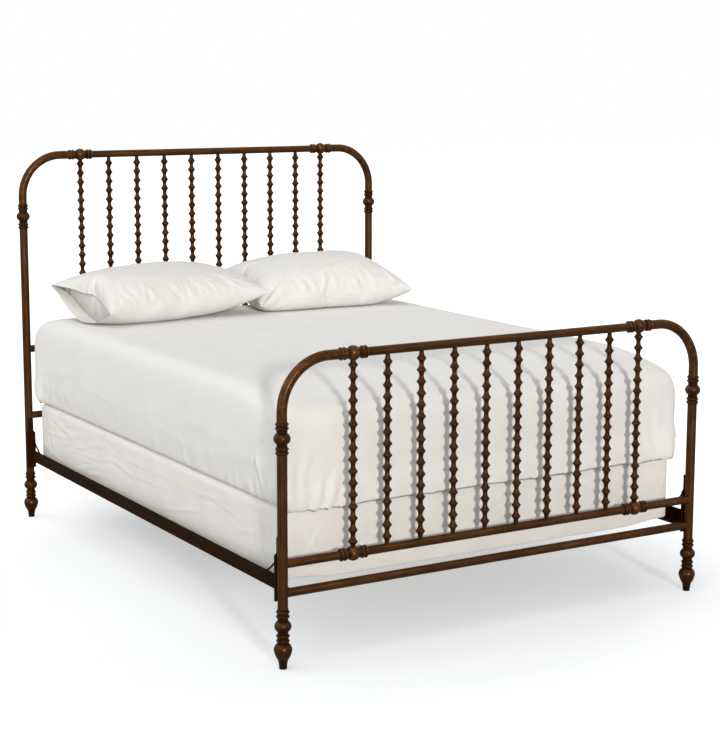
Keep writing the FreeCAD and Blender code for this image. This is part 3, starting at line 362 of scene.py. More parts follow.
def block_skin(middle, half, profile, corner, step, closed=False):
    """A skin over a soft block: a level patch on top, then rings outwards and down a profile of (inset,
    height) points, with two steps to each of the patch's. Corner gives the corners' radius at an inset.
    A closed skin has a second patch underneath, and as many steps all over. Returns the mesh's points
    and quads, in which a triangle has its last corner twice."""
    inset = profile[0][0]
    finer = 1 if closed else 2
    counts = (round(2 * (half.x - inset) / step / finer), round(2 * (half.y - inset) / step / finer))
    fine = (counts[0] * finer, counts[1] * finer)
    loops = [rounded_loop(half.x - inset, half.y - inset, corner(inset), fine) for inset, height in profile]
    top = patch(loops[0][::finer], counts, profile[0][1])
    number = np.arange(top.shape[0] * top.shape[1]).reshape(top.shape[:2])
    edge = np.concatenate([number[0, :-1], number[:-1, -1], number[-1, :0:-1], number[:0:-1, 0]])
    faces = np.stack([number[:-1, :-1], number[:-1, 1:], number[1:, 1:], number[1:, :-1]], 2)
    quads = [faces.reshape(-1, 4)]
    points = [top.reshape(-1, 3)]
    total = number.size
    rim = edge
    for (inset, height), loop in zip(profile[1:], loops[1:]):
        ring = total + np.arange(len(loop))
        total += len(loop)
        points.append(np.column_stack([loop, np.full(len(loop), height)]))
        if len(rim) == len(ring):
            quads.append(np.stack([rim, ring, np.roll(ring, -1), np.roll(rim, -1)], 1))
        else:
            halfway, onward = ring[1::2], np.roll(ring, -2)[::2]
            quads.append(np.stack([rim, ring[::2], halfway, np.roll(rim, -1)], 1))
            quads.append(np.stack([np.roll(rim, -1), halfway, onward, onward], 1))
        rim = ring
    if closed:
        under = patch(loops[-1], counts, profile[-1][1])
        below = np.full(number.shape, -1)
        below.ravel()[edge] = rim
        inside = below < 0
        below[inside] = total + np.arange(inside.sum())
        points.append(under[inside])
        faces = np.stack([below[:-1, :-1], below[1:, :-1], below[1:, 1:], below[:-1, 1:]], 2)
        quads.append(faces.reshape(-1, 4))
    points = np.concatenate(points)
    points[:, :2] += (middle.x, middle.y)
    return points, np.concatenate(quads)


def even_steps(points, step):
    """A smooth curve through (inset, height) points, in even steps."""
    knots = np.array(points, float)
    knots = np.vstack([2 * knots[0] - knots[1], knots, 2 * knots[-1] - knots[-2]])
    t = np.linspace(0, 1, 24, endpoint=False)[:, None]
    curve = []
    for a, b, c, d in zip(knots, knots[1:], knots[2:], knots[3:]):
        curve.append(0.5 * (2 * b + (c - a) * t + (2 * a - 5 * b + 4 * c - d) * t ** 2
                            + (3 * b - a - 3 * c + d) * t ** 3))
    curve = np.vstack([*curve, knots[-2]])
    run = np.concatenate([[0], np.cumsum(np.linalg.norm(np.diff(curve, axis=0), axis=1))])
    stops = np.linspace(0, run[-1], max(2, round(run[-1] / step)) + 1)
    return list(zip(np.interp(stops, run, curve[:, 0]), np.interp(stops, run, curve[:, 1])))


def normals_of(points, quads):
    """Smooth normals at the corners of a mesh of quads."""
    a, b, c, d = (points[quads[:, k]] for k in range(4))
    faces = np.cross(c - a, d - b)
    normals = np.zeros_like(points)
    for k in range(4):
        np.add.at(normals, quads[:, k], faces)
    return normals / np.maximum(np.linalg.norm(normals, axis=1, keepdims=True), 1e-12)


def crease(lift, points, normals, start, end, width, height):
    """Adds to the lift of each point a crease from start to end: a ridge with a hollow beside it,
    tapered to its ends."""
    start, end = np.array(start, float), np.array(end, float)
    length = np.linalg.norm(end - start)
    line = (end - start) / length
    near = np.flatnonzero(np.linalg.norm(points - (start + end) / 2, axis=1) < length / 2 + 5 * width)
    offset = points[near] - start
    ahead = offset @ line / length
    across = np.cross(normals[near], line)
    across /= np.maximum(np.linalg.norm(across, axis=1, keepdims=True), 1e-9)
    aside = np.einsum("ij,ij->i", offset, across) / width
    away = np.einsum("ij,ij->i", offset, normals[near])
    taper = smooth(np.minimum(ahead, 1 - ahead), -0.08, 0.3)
    ridge = np.exp(-aside ** 2) - 0.55 * np.exp(-((aside - 1.7) / 1.3) ** 2)
    lift[near] += height * ridge * taper * np.exp(-(away / 0.06) ** 2)


def smooth(value, low, high):
    """Rises gently from 0 at low to 1 at high."""
    share = np.clip((value - low) / (high - low), 0, 1)
    return share * share * (3 - 2 * share)


def swell(points, size, seed):
    """Slow waves over a surface, about as long as size, from -1 to 1."""
    draw = np.random.default_rng(seed)
    total = np.zeros(len(points))
    waves = 14
    for _ in range(waves):
        direction = draw.normal(size=3)
        direction /= np.linalg.norm(direction)
        length = size * draw.uniform(0.7, 1.6)
        total += np.sin(points @ direction * (2 * math.pi / length) + draw.uniform(0, 6.3))
    return total / waves * 1.6


def on_side(low, high, side, along, height):
    """A point on a side of a box: sides 0 to 3 are foot, right, head and left."""
    middle = (low + high) / 2
    if side % 2 == 0:
        return middle.x + along, (low.y if side == 0 else high.y), height
    return (high.x if side == 1 else low.x), middle.y + along, height


def mesh_piece(name, points, quads, material):
    """A smooth mesh object from corners and faces."""
    mesh = bpy.data.meshes.new(name)
    faces = [list(dict.fromkeys(int(corner) for corner in quad)) for quad in quads]
    mesh.from_pydata([tuple(point) for point in points], [], faces)
    mesh.materials.append(material)
    mesh.polygons.foreach_set("use_smooth", [True] * len(mesh.polygons))
    piece = bpy.data.objects.new(name, mesh)
    bpy.context.scene.collection.objects.link(piece)
    return piece


def thicken(piece, thickness):
    """Gives a skin its cloth's thickness, inwards."""
    wall = piece.modifiers.new("cloth_thickness", "SOLIDIFY")
    wall.thickness = thickness
    wall.offset = -1
    return piece


def sew(name, runs, size, spacing, thread):
    """Sews a row of stitches along runs of points. Each stitch is a short plump loop of thread."""
    tree = bpy.data.node_groups.new(f"{name}_rows", "GeometryNodeTree")
    tree.interface.new_socket("Geometry", in_out="INPUT", socket_type="NodeSocketGeometry")
    kinds = {"Stitch Size": "Vector", "Stitch Spacing": "Float", "Thread": "Material"}
    keys = {label: tree.interface.new_socket(label, in_out="INPUT", socket_type=f"NodeSocket{kind}").identifier
            for label, kind in kinds.items()}
    tree.interface.new_socket("Geometry", in_out="OUTPUT", socket_type="NodeSocketGeometry")
    start, end = tree.nodes.new("NodeGroupInput"), tree.nodes.new("NodeGroupOutput")
    follow, space, heading, turn, stitch, place, make, colour = (tree.nodes.new(kind) for kind in (
        "GeometryNodeMeshToCurve", "GeometryNodeResampleCurve", "GeometryNodeInputTangent",
        "FunctionNodeAlignRotationToVector", "GeometryNodeMeshUVSphere", "GeometryNodeInstanceOnPoints",
        "GeometryNodeRealizeInstances", "GeometryNodeSetMaterial"))
    space.mode = "LENGTH"
    turn.axis = "X"
    stitch.inputs["Segments"].default_value, stitch.inputs["Rings"].default_value = 5, 3
    stitch.inputs["Radius"].default_value = 0.5
    for source, output, target, socket in (
            (start, "Geometry", follow, "Mesh"), (follow, "Curve", space, "Curve"),
            (start, "Stitch Spacing", space, "Length"), (heading, "Tangent", turn, "Vector"),
            (space, "Curve", place, "Points"), (stitch, "Mesh", place, "Instance"),
            (turn, "Rotation", place, "Rotation"), (start, "Stitch Size", place, "Scale"),
            (place, "Instances", make, "Geometry"), (make, "Geometry", colour, "Geometry"),
            (start, "Thread", colour, "Material"), (colour, "Geometry", end, "Geometry")):
        tree.links.new(source.outputs[output], target.inputs[socket])
    wire = bpy.data.meshes.new(f"{name}_run")
    places, edges = [], []
    for run in runs:
        edges += [(len(places) + k, len(places) + k + 1) for k in range(len(run) - 1)]
        places += [tuple(point) for point in run]
    wire.from_pydata(places, edges, [])
    piece = bpy.data.objects.new(name, wire)
    bpy.context.scene.collection.objects.link(piece)
    rows = piece.modifiers.new("rows", "NODES")
    rows.node_group = tree
    rows[keys["Stitch Size"]] = size
    rows[keys["Stitch Spacing"]] = spacing
    rows[keys["Thread"]] = thread
    sewn = bpy.data.meshes.new_from_object(piece.evaluated_get(bpy.context.evaluated_depsgraph_get()))
    piece.modifiers.remove(rows)
    piece.data = sewn
    bpy.data.meshes.remove(wire)
    sewn.polygons.foreach_set("use_smooth", [True] * len(sewn.polygons))
    return piece


def woven(name, pale, shade, thread, roughness, sheen, relief, wrinkle=0.0):
    """Plain-woven cotton: threads along the three axes, of which two show on any face, slubs and
    a slight unevenness of the bleach. A wrinkled cloth has fine long lines along it as well."""
    material, shader = new_finish(name, roughness=roughness, sheen=sheen)
    place = object_place(shader)
    turns = vector_sum(shader, "MULTIPLY", place, (2 * math.pi / thread,) * 3)
    threads = add_node(shader, "SeparateXYZ", {"Vector": vector_sum(shader, "SINE", turns)})
    weave = number_sum(shader, "ADD", number_sum(shader, "ADD", threads.outputs["X"], threads.outputs["Y"]),
                       threads.outputs["Z"])
    slubs = noise(shader, place, (thread * 14, thread * 14, thread * 3), detail=3.0)
    clouds = noise(shader, place, 0.12, detail=3.0)
    tone = number_sum(shader, "ADD", number_sum(shader, "MULTIPLY", clouds, 0.6),
                      number_sum(shader, "MULTIPLY", slubs, 0.4))
    paint_over(shader, "Base Color", ramp(shader, tone, [(0.3, shade), (0.62, pale)]))
    height = number_sum(shader, "ADD", number_sum(shader, "MULTIPLY", weave, 0.16), slubs)
    if wrinkle:
        wander = noise(shader, place, (0.3, 0.3, 0.028), detail=2.0)
        line = number_sum(shader, "ABSOLUTE", number_sum(shader, "SUBTRACT", wander, 0.5))
        fold = spread(shader, line, 0.0, 0.07, wrinkle / relief, 0.0)
        height = number_sum(shader, "ADD", height, fold)
    bump(shader, height, relief, 0.5)
    return material


half = (cover_high - cover_low) / 2
middle = (cover_high + cover_low) / 2
edge = [(1 - math.sin(a), 1 - math.cos(a)) for a in np.radians(range(0, 91, 15))]
profile = [(inset * cover_edge, cover_high.z - drop * cover_edge) for inset, drop in edge]
fall = cover_high.z - cover_low.z - cover_edge - cover_low_edge
steps = round(fall / cover_fall_step)
profile += [(0.0, cover_high.z - cover_edge - fall * k / steps) for k in range(1, steps)]
profile += [(inset * cover_low_edge, cover_low.z + drop * cover_low_edge)
            for inset, drop in reversed(edge[::2])]
profile += [(cover_low_edge + (cover_turn_under - cover_low_edge) * k / 3, cover_low.z) for k in range(1, 4)]
points, quads = block_skin(middle, half, profile, lambda inset: max(cover_corner - inset, 0.004), cover_step)
normals = normals_of(points, quads)
upright = np.abs(normals[:, 2]) < 0.6
seam_level = min((height for inset, height in profile),
                 key=lambda height: abs(height - cover_high.z + seam_drop))
seam = np.flatnonzero(np.isclose(points[:, 2], seam_level))
lift = cover_swell * swell(points, 0.3, 11) * upright
draw = random.Random(5)
for side in range(4):
    reach = half.x if side % 2 == 0 else half.y
    kind = "side" if side % 2 else "end"
    for number in range(cover_crease_counts[kind]):
        along = draw.uniform(-0.92, 0.92) * reach
        height = cover_low.z + draw.uniform(0.03, 0.19)
        slant = draw.uniform(0.03, cover_crease_slants[kind]) * draw.choice((1, 1, 1, -1))
        length = draw.uniform(0.09, cover_crease_lengths[kind])
        rise = length * math.sin(-slant if side in (3, 2) else slant) / 2
        ends = [on_side(cover_low, cover_high, side, along + k * length / 2, height + k * rise)
                for k in (-1, 1)]
        crease(lift, points, normals, *ends, draw.uniform(*cover_crease_width),
               draw.uniform(*cover_crease_height))
    for corner in (-1, 1):
        for number in range(corner_crease_count):
            along = corner * (reach - draw.uniform(*corner_crease_place))
            lean = draw.uniform(-0.05, 0.05)
            ends = [on_side(cover_low, cover_high, side, along + lean * k,
                            middle.z + 0.095 * k * draw.uniform(0.5, 1)) for k in (-1, 1)]
            crease(lift, points, normals, *ends, draw.uniform(*corner_crease_width),
                   draw.uniform(*corner_crease_height))
lift *= 0.2 + 0.8 * smooth(cover_high.z - points[:, 2], 0.03, 0.06)
lift += seam_proud * upright * np.exp(-((points[:, 2] - cover_high.z + seam_drop) / seam_width) ** 2)
low_down = np.exp(-((points[:, 2] - cover_low.z) / 0.07) ** 2)
at_foot = 1 - smooth(points[:, 1], cover_low.y, cover_low.y + 0.08)
between_rails = 1 - smooth(np.abs(points[:, 0]), half.x - 0.20, half.x - 0.045)
points += normals * lift[:, None]
points[:, 2] -= cover_sag_foot * low_down * at_foot * between_rails
duck = woven("cover_duck", duck_white, duck_shade, thread=duck_thread, roughness=0.9, sheen=0.15,
             relief=0.0006, wrinkle=cover_wrinkle)
cover = thicken(mesh_piece("box_spring_slip", points, quads, duck), cover_thickness)
dust_points = [(middle.x + x * (half.x - dust_margin), middle.y + y * (half.y - dust_margin),
                cover_low.z + rise)
               for rise in reversed(dust_levels) for x, y in square]
dust_faces = [(0, 1, 2, 3), (7, 6, 5, 4), (4, 5, 1, 0), (5, 6, 2, 1), (6, 7, 3, 2), (7, 4, 0, 3)]
dust = mesh_piece("box_spring_dust_cloth", dust_points, dust_faces, duck)
dust.data.polygons.foreach_set("use_smooth", [False] * len(dust_faces))
seam_run = (points + normals * 0.0002)[np.append(seam, seam[0])]
stitching = sew("box_spring_stitching", [seam_run], seam_stitch, seam_spacing, duck)
for piece in (cover, dust, stitching):
    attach(piece, "box_spring")
    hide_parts("box_spring_cover")

# Mattress: springs in sleeves inside an upholstered shell of cotton ticking, with full sides and soft
# shoulders. The fitted sheet hides it, apart from its underside when it is lifted.

ticking_white = (226, 223, 214)
ticking_grey = (206, 204, 198)
mattress_low, mattress_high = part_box("mattress")
mattress_sections = [(1.0, 0.22), (0.997, 0.088), (0.987, 0.05), (0.965, 0.03), (0.918, 0.014),
                     (0.845, 0.005), (0.7, 0.0), (0.45, 0.0), (0.26, 0.004), (0.14, 0.010), (0.06, 0.017),
                     (0.02, 0.024), (0.0, 0.038)]
mattress_low_corner = 0.022
mattress_step = 0.03
mattress_fall_step = 0.02
foot_drop, foot_run = 0.056, 0.36
head_drop, head_run = 0.03, 0.24
ticking = woven("mattress_ticking", ticking_white, ticking_grey, thread=0.0015, roughness=0.85, sheen=0.1,
                relief=0.0006)
dress("mattress_springs", ticking)


def mattress_corner(inset):
    """The mattress gets rounder at its corners towards its top."""
    return mattress_low_corner + 0.5 * inset


def sink_ends(points, low, high):
    """Lets the mattress's top down towards its two ends, where a sheet draws the corners in."""
    share = (points[:, 2] - low.z) / (high.z - low.z)
    at_foot = np.clip(1 - (points[:, 1] - low.y) / foot_run, 0, 1) ** 1.9
    at_head = np.clip(1 - (high.y - points[:, 1]) / head_run, 0, 1) ** 2.5
    points[:, 2] -= share ** 2 * (foot_drop * at_foot + head_drop * at_head)


half = (mattress_high - mattress_low) / 2
middle = (mattress_high + mattress_low) / 2
sections = [(inset, mattress_low.z + share * 2 * half.z) for share, inset in mattress_sections]
profile = even_steps(sections, mattress_fall_step)
points, quads = block_skin(middle, half, profile, mattress_corner, mattress_step, closed=True)
sink_ends(points, mattress_low, mattress_high)
mattress = mesh_piece("mattress_block", points, quads, ticking)
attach(mattress, "mattress")
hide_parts("mattress")

# Fitted sheet: bleached percale cut as a deep pocket, drawn over the mattress and gathered under it by
# an elastic hem. It lies smooth on top and puckers where the hem pulls it round the lower corners.

percale_white = (234, 233, 231)
percale_shade = (228, 227, 224)
sheet_low, sheet_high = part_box("fitted_sheet")
sheet_step = 0.0085
sheet_fall_step = 0.011
sheet_turn_under = 0.14
sheet_thickness = 0.0008
deepest_hollow = 0.0014
roll_rise, roll_reach, roll_out = 0.045, 0.03, 0.008
pucker_spacing = 0.075
pucker_rise = (0.04, 0.13)
pucker_width = (0.007, 0.014)
pucker_height = (0.0012, 0.0030)
drag_counts = {"end": 7, "side": 9}
drag_length = (0.12, 0.3)
drag_width = (0.014, 0.026)
drag_height = (0.0008, 0.0020)
gather_count = 12
gather_first, gather_spacing = 0.012, 0.019
gather_rise = (0.07, 0.22)
gather_width = (0.006, 0.010)
gather_height = (0.0026, 0.0058)
gather_deeper = {"end": 1.4, "side": 1.0}
ear_rise, ear_out = 0.04, 0.022
ear_reach = (0.08, 0.08, 0.06)
corner_fold_inset = 0.0065
hem_sag = 0.013
hem_sag_ends = 0.034
half = (sheet_high - sheet_low) / 2
middle = (sheet_high + sheet_low) / 2
sections = [(inset, sheet_low.z + share * 2 * half.z) for share, inset in mattress_sections]
profile = even_steps(sections, sheet_fall_step)
low_inset = sections[-1][0]
profile += [(low_inset + (sheet_turn_under - low_inset) * k / 4, sheet_low.z) for k in range(1, 5)]
points, quads = block_skin(middle, half, profile, mattress_corner, sheet_step)
sink_ends(points, sheet_low, sheet_high)
normals = normals_of(points, quads)
low_part = 1 - smooth(points[:, 2], sheet_low.z + 0.03, sheet_low.z + 0.13)
under = normals[:, 2] < -0.5
lift = 0.0012 * swell(points, 0.6, 3) + 0.0030 * low_part * swell(points, 0.08, 4) * ~under
roll = np.exp(-((points[:, 2] - sheet_low.z - roll_rise) / roll_reach) ** 2)
roll *= np.abs(normals[:, 1]) > 0.7
lift += roll * roll_out * (1 + 0.5 * swell(points * (1, 0, 0), 0.1, 13))
draw = random.Random(8)
for side in range(4):
    reach = half.x if side % 2 == 0 else half.y
    kind = "side" if side % 2 else "end"
    for number in range(round(2 * reach / pucker_spacing)):
        along = draw.uniform(-0.93, 0.93) * reach
        rise = draw.uniform(*pucker_rise)
        lean = draw.uniform(-0.3, 0.3) * rise
        ends = [on_side(sheet_low, sheet_high, side, along, sheet_low.z - 0.01),
                on_side(sheet_low, sheet_high, side, along + lean, sheet_low.z + rise)]
        crease(lift, points, normals, *ends, draw.uniform(*pucker_width), draw.uniform(*pucker_height))
    for number in range(drag_counts[kind]):
        along = draw.uniform(-0.85, 0.85) * reach
        height = sheet_low.z + draw.uniform(0.06, 0.2)
        length = draw.uniform(*drag_length)
        lean = draw.uniform(-0.4, 0.4) * length
        if kind == "end":
            ends = [on_side(sheet_low, sheet_high, side, along, height - length / 3),
                    on_side(sheet_low, sheet_high, side, along + lean * 0.4, height + length * 2 / 3)]
        else:
            ends = [on_side(sheet_low, sheet_high, side, along - length, height - lean * 0.3),
                    on_side(sheet_low, sheet_high, side, along + length, height + lean * 0.3)]
        crease(lift, points, normals, *ends, draw.uniform(*drag_width), draw.uniform(*drag_height))
    for corner in (-1, 1):
        for number in range(gather_count):
            spread_out = gather_first + gather_spacing * number * draw.uniform(0.85, 1.15)
            rise = draw.uniform(*gather_rise) * (1 - number / 20)
            lean = (0.10 + 0.05 * number) * rise * draw.uniform(0.7, 1.3)
            along = reach - spread_out
            ends = [on_side(sheet_low, sheet_high, side, corner * along, sheet_low.z - 0.005),
                    on_side(sheet_low, sheet_high, side, corner * (along - lean), sheet_low.z + rise)]
            crease(lift, points, normals, *ends, draw.uniform(*gather_width),
                   gather_deeper[kind] * draw.uniform(*gather_height))
for x in (sheet_low.x, sheet_high.x):
    for y in (sheet_low.y, sheet_high.y):
        from_corner = np.linalg.norm((points - (x, y, sheet_low.z + ear_rise)) / ear_reach, axis=1)
        lift += ear_out * np.exp(-from_corner ** 2) * ~under
        inner_x = x - math.copysign(corner_fold_inset, x - middle.x)
        inner_y = y - math.copysign(corner_fold_inset, y - middle.y)
        ends = (inner_x, inner_y, sheet_low.z - 0.02), (inner_x, inner_y, sheet_low.z + 0.26)
        crease(lift, points, normals, *ends, 0.008, 0.0035)
lift = np.where(lift < 0, deepest_hollow * (np.exp(np.minimum(lift, 0) / deepest_hollow) - 1), lift)
inward = half[:2] - np.abs(points[:, :2] - middle[:2])
at_end = 1 - smooth(inward[:, 1] - inward[:, 0], -0.015, 0.015)
near_hem = np.exp(-(np.maximum(points[:, 2] - sheet_low.z, 0) / 0.05) ** 2)
points += normals * lift[:, None]
fold = at_end * near_hem * (1 - smooth(inward[:, 1], 0.040, 0.052))
bulge = 0.85 * inward[:, 1] + 0.005 + 0.004 * swell(points * (1, 0, 0), 0.11, 12)
points[:, 1] += np.sign(points[:, 1] - middle.y) * fold * bulge
hang = near_hem * (1 - smooth(inward.min(1), 0.014, 0.034))
sag = hem_sag + (hem_sag_ends - hem_sag) * at_end
sag += (0.002 + 0.004 * at_end) * swell(points * (1, 1, 0), 0.13, 9)
points[:, 2] -= hang * sag
percale = woven("sheet_percale", percale_white, percale_shade, thread=0.0008, roughness=0.88, sheen=0.12,
                relief=0.0004)
fitted = thicken(mesh_piece("fitted_sheet_skin", points, quads, percale), sheet_thickness)
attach(fitted, "mattress")
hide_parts("fitted_sheet")

# Pillows: cotton ticking bags of fibre in percale cases, which are sewn up on three sides and open at
# one end. The left one shows its open end; the right one's is turned in behind it.

case_cuts = {"pillow_left": (0.74, 0.487), "pillow_right": (0.71, 0.487)}
case_places = {"pillow_left": (-0.342, 0.772, 8.0), "pillow_right": (0.38, 0.785, -3.0)}
shut_cases = ("pillow_right",)
case_pressures = {"pillow_left": 10.0, "pillow_right": 10.5}
case_step = 0.008
case_plump = 0.06
case_rest = 0.068
case_uneven = 0.004
case_thickness = 0.0008
mouth_slack = {"pillow_left": 0.11, "pillow_right": 0.01}
fill_frames = 34
edge_crease_count = 28
edge_crease_width = (0.006, 0.010)
edge_crease_height = (0.0014, 0.0036)
fan_crease_count = 9
fan_crease_width = (0.007, 0.012)
fan_crease_height = (0.0018, 0.0042)
middle_crease_count = 7
middle_crease_width = (0.010, 0.018)
middle_crease_height = (0.0012, 0.0028)
hem_depth = 0.088
hem_stitch = (0.003, 0.0006, 0.0006)
hem_spacing = 0.0045
stuffing_gap = 0.004
stuffing_from_mouth = {"pillow_left": 0.056, "pillow_right": 0.016}
case_white = (226, 225, 223)
case_shade = (219, 218, 215)
pillow_white = (234, 232, 226)
pillow_grey = (220, 218, 212)
held_corners = {
    "pillow_left": {(0, 0): (0.0, 0.018, -0.008), (-1, 0): (0.0, -0.018, 0.06), (0, -1): (0.0, 0.0, 0.022)},
    "pillow_right": {(0, 0): (-0.005, 0.03, -0.045), (-1, 0): (0.0, -0.01, 0.055),
                     (0, -1): (-0.03, 0.0, 0.0)},
}


def case_skin(length, depth, step, plump, shut):
    """Two layers of cloth joined along three sides and open at the left end, unless that is turned in
    and shut. Returns the points, the quads, and the numbers of each layer's points as a grid."""
    grid_x, grid_y = np.meshgrid(np.linspace(-length / 2, length / 2, round(length / step) + 1),
                                 np.linspace(-depth / 2, depth / 2, round(depth / step) + 1))
    rise = plump * (1 - (2 * grid_x / length) ** 4) * (1 - (2 * grid_y / depth) ** 4)
    upper = np.arange(grid_x.size).reshape(grid_x.shape)
    sewn = np.zeros(grid_x.shape, bool)
    sewn[0, :] = sewn[-1, :] = sewn[:, -1] = True
    sewn[:, 0] |= shut
    lower = upper.copy()
    lower[~sewn] = grid_x.size + np.arange((~sewn).sum())
    points = np.concatenate([np.stack([grid_x, grid_y, rise], 2).reshape(-1, 3),
                             np.stack([grid_x, grid_y, -rise], 2)[~sewn]])
    over = np.stack([upper[:-1, :-1], upper[:-1, 1:], upper[1:, 1:], upper[1:, :-1]], 2)
    under = np.stack([lower[:-1, :-1], lower[1:, :-1], lower[1:, 1:], lower[:-1, 1:]], 2)
    return points, np.concatenate([over.reshape(-1, 4), under.reshape(-1, 4)]), upper, lower


def blow_up(piece, stuffed, held, pressure, frames):
    """Fills a cloth bag until it is plump, while it lies on the mattress and a few of its corners are
    drawn to an offset from where they were cut. Returns where its points come to lie."""
    filled = piece.vertex_groups.new(name="filled")
    for number, weight in enumerate(stuffed):
        filled.add([number], float(weight), "REPLACE")
    pinned = piece.vertex_groups.new(name="pinned")
    piece.shape_key_add(name="cut")
    drawn = piece.shape_key_add(name="drawn")
    for number, offset in held.items():
        pinned.add([number], 1.0, "REPLACE")
        drawn.data[number].co = piece.data.vertices[number].co + Vector(offset)
    for frame_number, value in ((1, 0.0), (12, 1.0)):
        drawn.value = value
        drawn.keyframe_insert("value", frame=frame_number)
    pulling = piece.data.shape_keys.animation_data.action
    rest = mattress.modifiers.new("rest", "COLLISION")
    mattress.collision.thickness_outer = 0.003
    mattress.collision.cloth_friction = 30
    cloth = piece.modifiers.new("cloth", "CLOTH")
    cloth.settings.quality = 6
    cloth.settings.mass = 0.012
    cloth.settings.air_damping = 4
    cloth.settings.tension_stiffness = cloth.settings.compression_stiffness = 10
    cloth.settings.shear_stiffness = 4
    cloth.settings.bending_stiffness = 0.015
    cloth.settings.tension_damping = cloth.settings.compression_damping = cloth.settings.shear_damping = 8
    cloth.settings.vertex_group_mass = "pinned"
    cloth.settings.use_pressure = True
    cloth.settings.uniform_pressure_force = pressure
    cloth.settings.vertex_group_pressure = "filled"
    cloth.collision_settings.distance_min = 0.002
    cloth.collision_settings.use_self_collision = False
    cloth.point_cache.frame_start, cloth.point_cache.frame_end = 1, frames
    for frame_number in range(1, frames + 1):
        bpy.context.scene.frame_set(frame_number)
    settled = piece.evaluated_get(bpy.context.evaluated_depsgraph_get()).data
    places = np.array([vertex.co for vertex in settled.vertices])
    bpy.context.scene.frame_set(1)
    piece.modifiers.remove(cloth)
    mattress.modifiers.remove(rest)
    piece.vertex_groups.clear()
    piece.shape_key_clear()
    bpy.data.actions.remove(pulling)
    return places


def soften(piece):
    """Rounds a mesh off by one subdivision."""
    round_off = piece.modifiers.new("round_off", "SUBSURF")
    round_off.levels = round_off.render_levels = 1
    return piece


case_percale = woven("case_percale", case_white, case_shade, thread=0.0008, roughness=0.88, sheen=0.12,
                     relief=0.0004)
pillow_cotton = woven("pillow_ticking", pillow_white, pillow_grey, thread=0.0012, roughness=0.88, sheen=0.1,
                      relief=0.0005)
for seed, body in enumerate(case_cuts):
    length, depth = case_cuts[body]
    across, along, turn = case_places[body]
    points, quads, upper, lower = case_skin(length, depth, case_step, case_plump, body in shut_cases)
    stuffed = smooth(points[:, 0] + length / 2, 0.0, mouth_slack[body])
    stuffed *= 0.92 + 0.08 * swell(points, 0.25, 60 + seed)
    points += case_uneven * np.stack([swell(points, 0.12, 40 + 3 * seed + axis) for axis in range(3)], 1)
    c, s = math.cos(math.radians(turn)), math.sin(math.radians(turn))
    points[:, :2] = points[:, :2] @ np.array([[c, s], [-s, c]]) + (across, along)
    points[:, 2] += sheet_high.z + case_rest
    case = mesh_piece(f"{body}_slip", points, quads, case_percale)
    held = {int(upper[row, column]): offset for (row, column), offset in held_corners[body].items()}
    points = blow_up(case, np.clip(stuffed, 0, 1), held, case_pressures[body], fill_frames)
    normals = normals_of(points, quads)
    lift = np.zeros(len(points))
    draw = random.Random(20 + seed)
    rows, columns = upper.shape
    for number in range(edge_crease_count):
        column = draw.randrange(6, columns - 3)
        reach = draw.randrange(5, 20)
        lean = min(max(column + draw.randrange(-9, 6), 2), columns - 2)
        ends = [points[upper[1, column]], points[upper[reach, lean]]]
        crease(lift, points, normals, *ends, draw.uniform(*edge_crease_width),
               draw.uniform(*edge_crease_height))
    for number in range(fan_crease_count):
        angle = math.radians(draw.uniform(4, 80))
        near, far = draw.uniform(3, 8), draw.uniform(16, 34)
        ends = [points[upper[round(1 + k * math.sin(angle)), round(columns - 2 - k * math.cos(angle))]]
                for k in (near, far)]
        crease(lift, points, normals, *ends, draw.uniform(*fan_crease_width), draw.uniform(*fan_crease_height))
    for number in range(middle_crease_count):
        row, column = draw.randrange(10, rows - 20), draw.randrange(8, columns - 30)
        last_row, last_column = row + draw.randrange(-4, 14), column + draw.randrange(12, 26)
        ends = [points[upper[row, column]], points[upper[last_row, last_column]]]
        crease(lift, points, normals, *ends, draw.uniform(*middle_crease_width),
               draw.uniform(*middle_crease_height))
    points += normals * lift[:, None]
    case.data.vertices.foreach_set("co", points.ravel())
    case.data.update()
    soften(thicken(case, case_thickness))
    pieces = [case]
    if body not in shut_cases:
        hem = round(hem_depth / case_step)
        runs = [(points + normals * 0.0001)[layer[:, hem]] for layer in (upper, lower)]
        pieces.append(sew(f"{body}_stitching", runs, hem_stitch, hem_spacing, case_percale))
    for piece in pieces:
        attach(piece, body)
        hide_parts(f"{body}_case")

    first = round(stuffing_from_mouth[body] / case_step)
    inner = points - normals * stuffing_gap
    used = np.unique(np.concatenate([upper[:, first:].ravel(), lower[:, first:].ravel()]))
    closing = np.stack([upper[:-1, first], upper[1:, first], lower[1:, first], lower[:-1, first]], 1)
    faces = np.concatenate([quads[np.isin(quads, used).all(1)], closing])
    faces = [list(dict.fromkeys(face)) for face in np.searchsorted(used, faces).tolist()]
    stuffing = mesh_piece(f"{body}_stuffing", inner[used], faces, pillow_cotton)
    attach(stuffing, body)
    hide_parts(body)

# Studio: a plain pale floor, soft light from all round, a warm lamp low at the front and a wide pale one
# at the left. The floor and the sky are white to the camera, and the floor keeps the bed's shadow. The floor's
# glow to the camera is weaker round the bed, which paints shade there.

floor_tone = (200, 200, 203)
floor_shown = (218, 222, 226)
floor_reach = 30.0
painted_shade_middle = (-0.3, -0.35, 0.0)
painted_shade_reach = (1.1, 2.3)
floor_glow_and_painted_shade = (0.38, 0.72)
sky_strength = 0.43
lamps = {"front_lamp": (-13, 13, 1.8, 5, (1.0, 0.953, 0.862)),
         "left_lamp": (-95, 44, 1.42, 90, (0.99, 0.995, 1.0))}

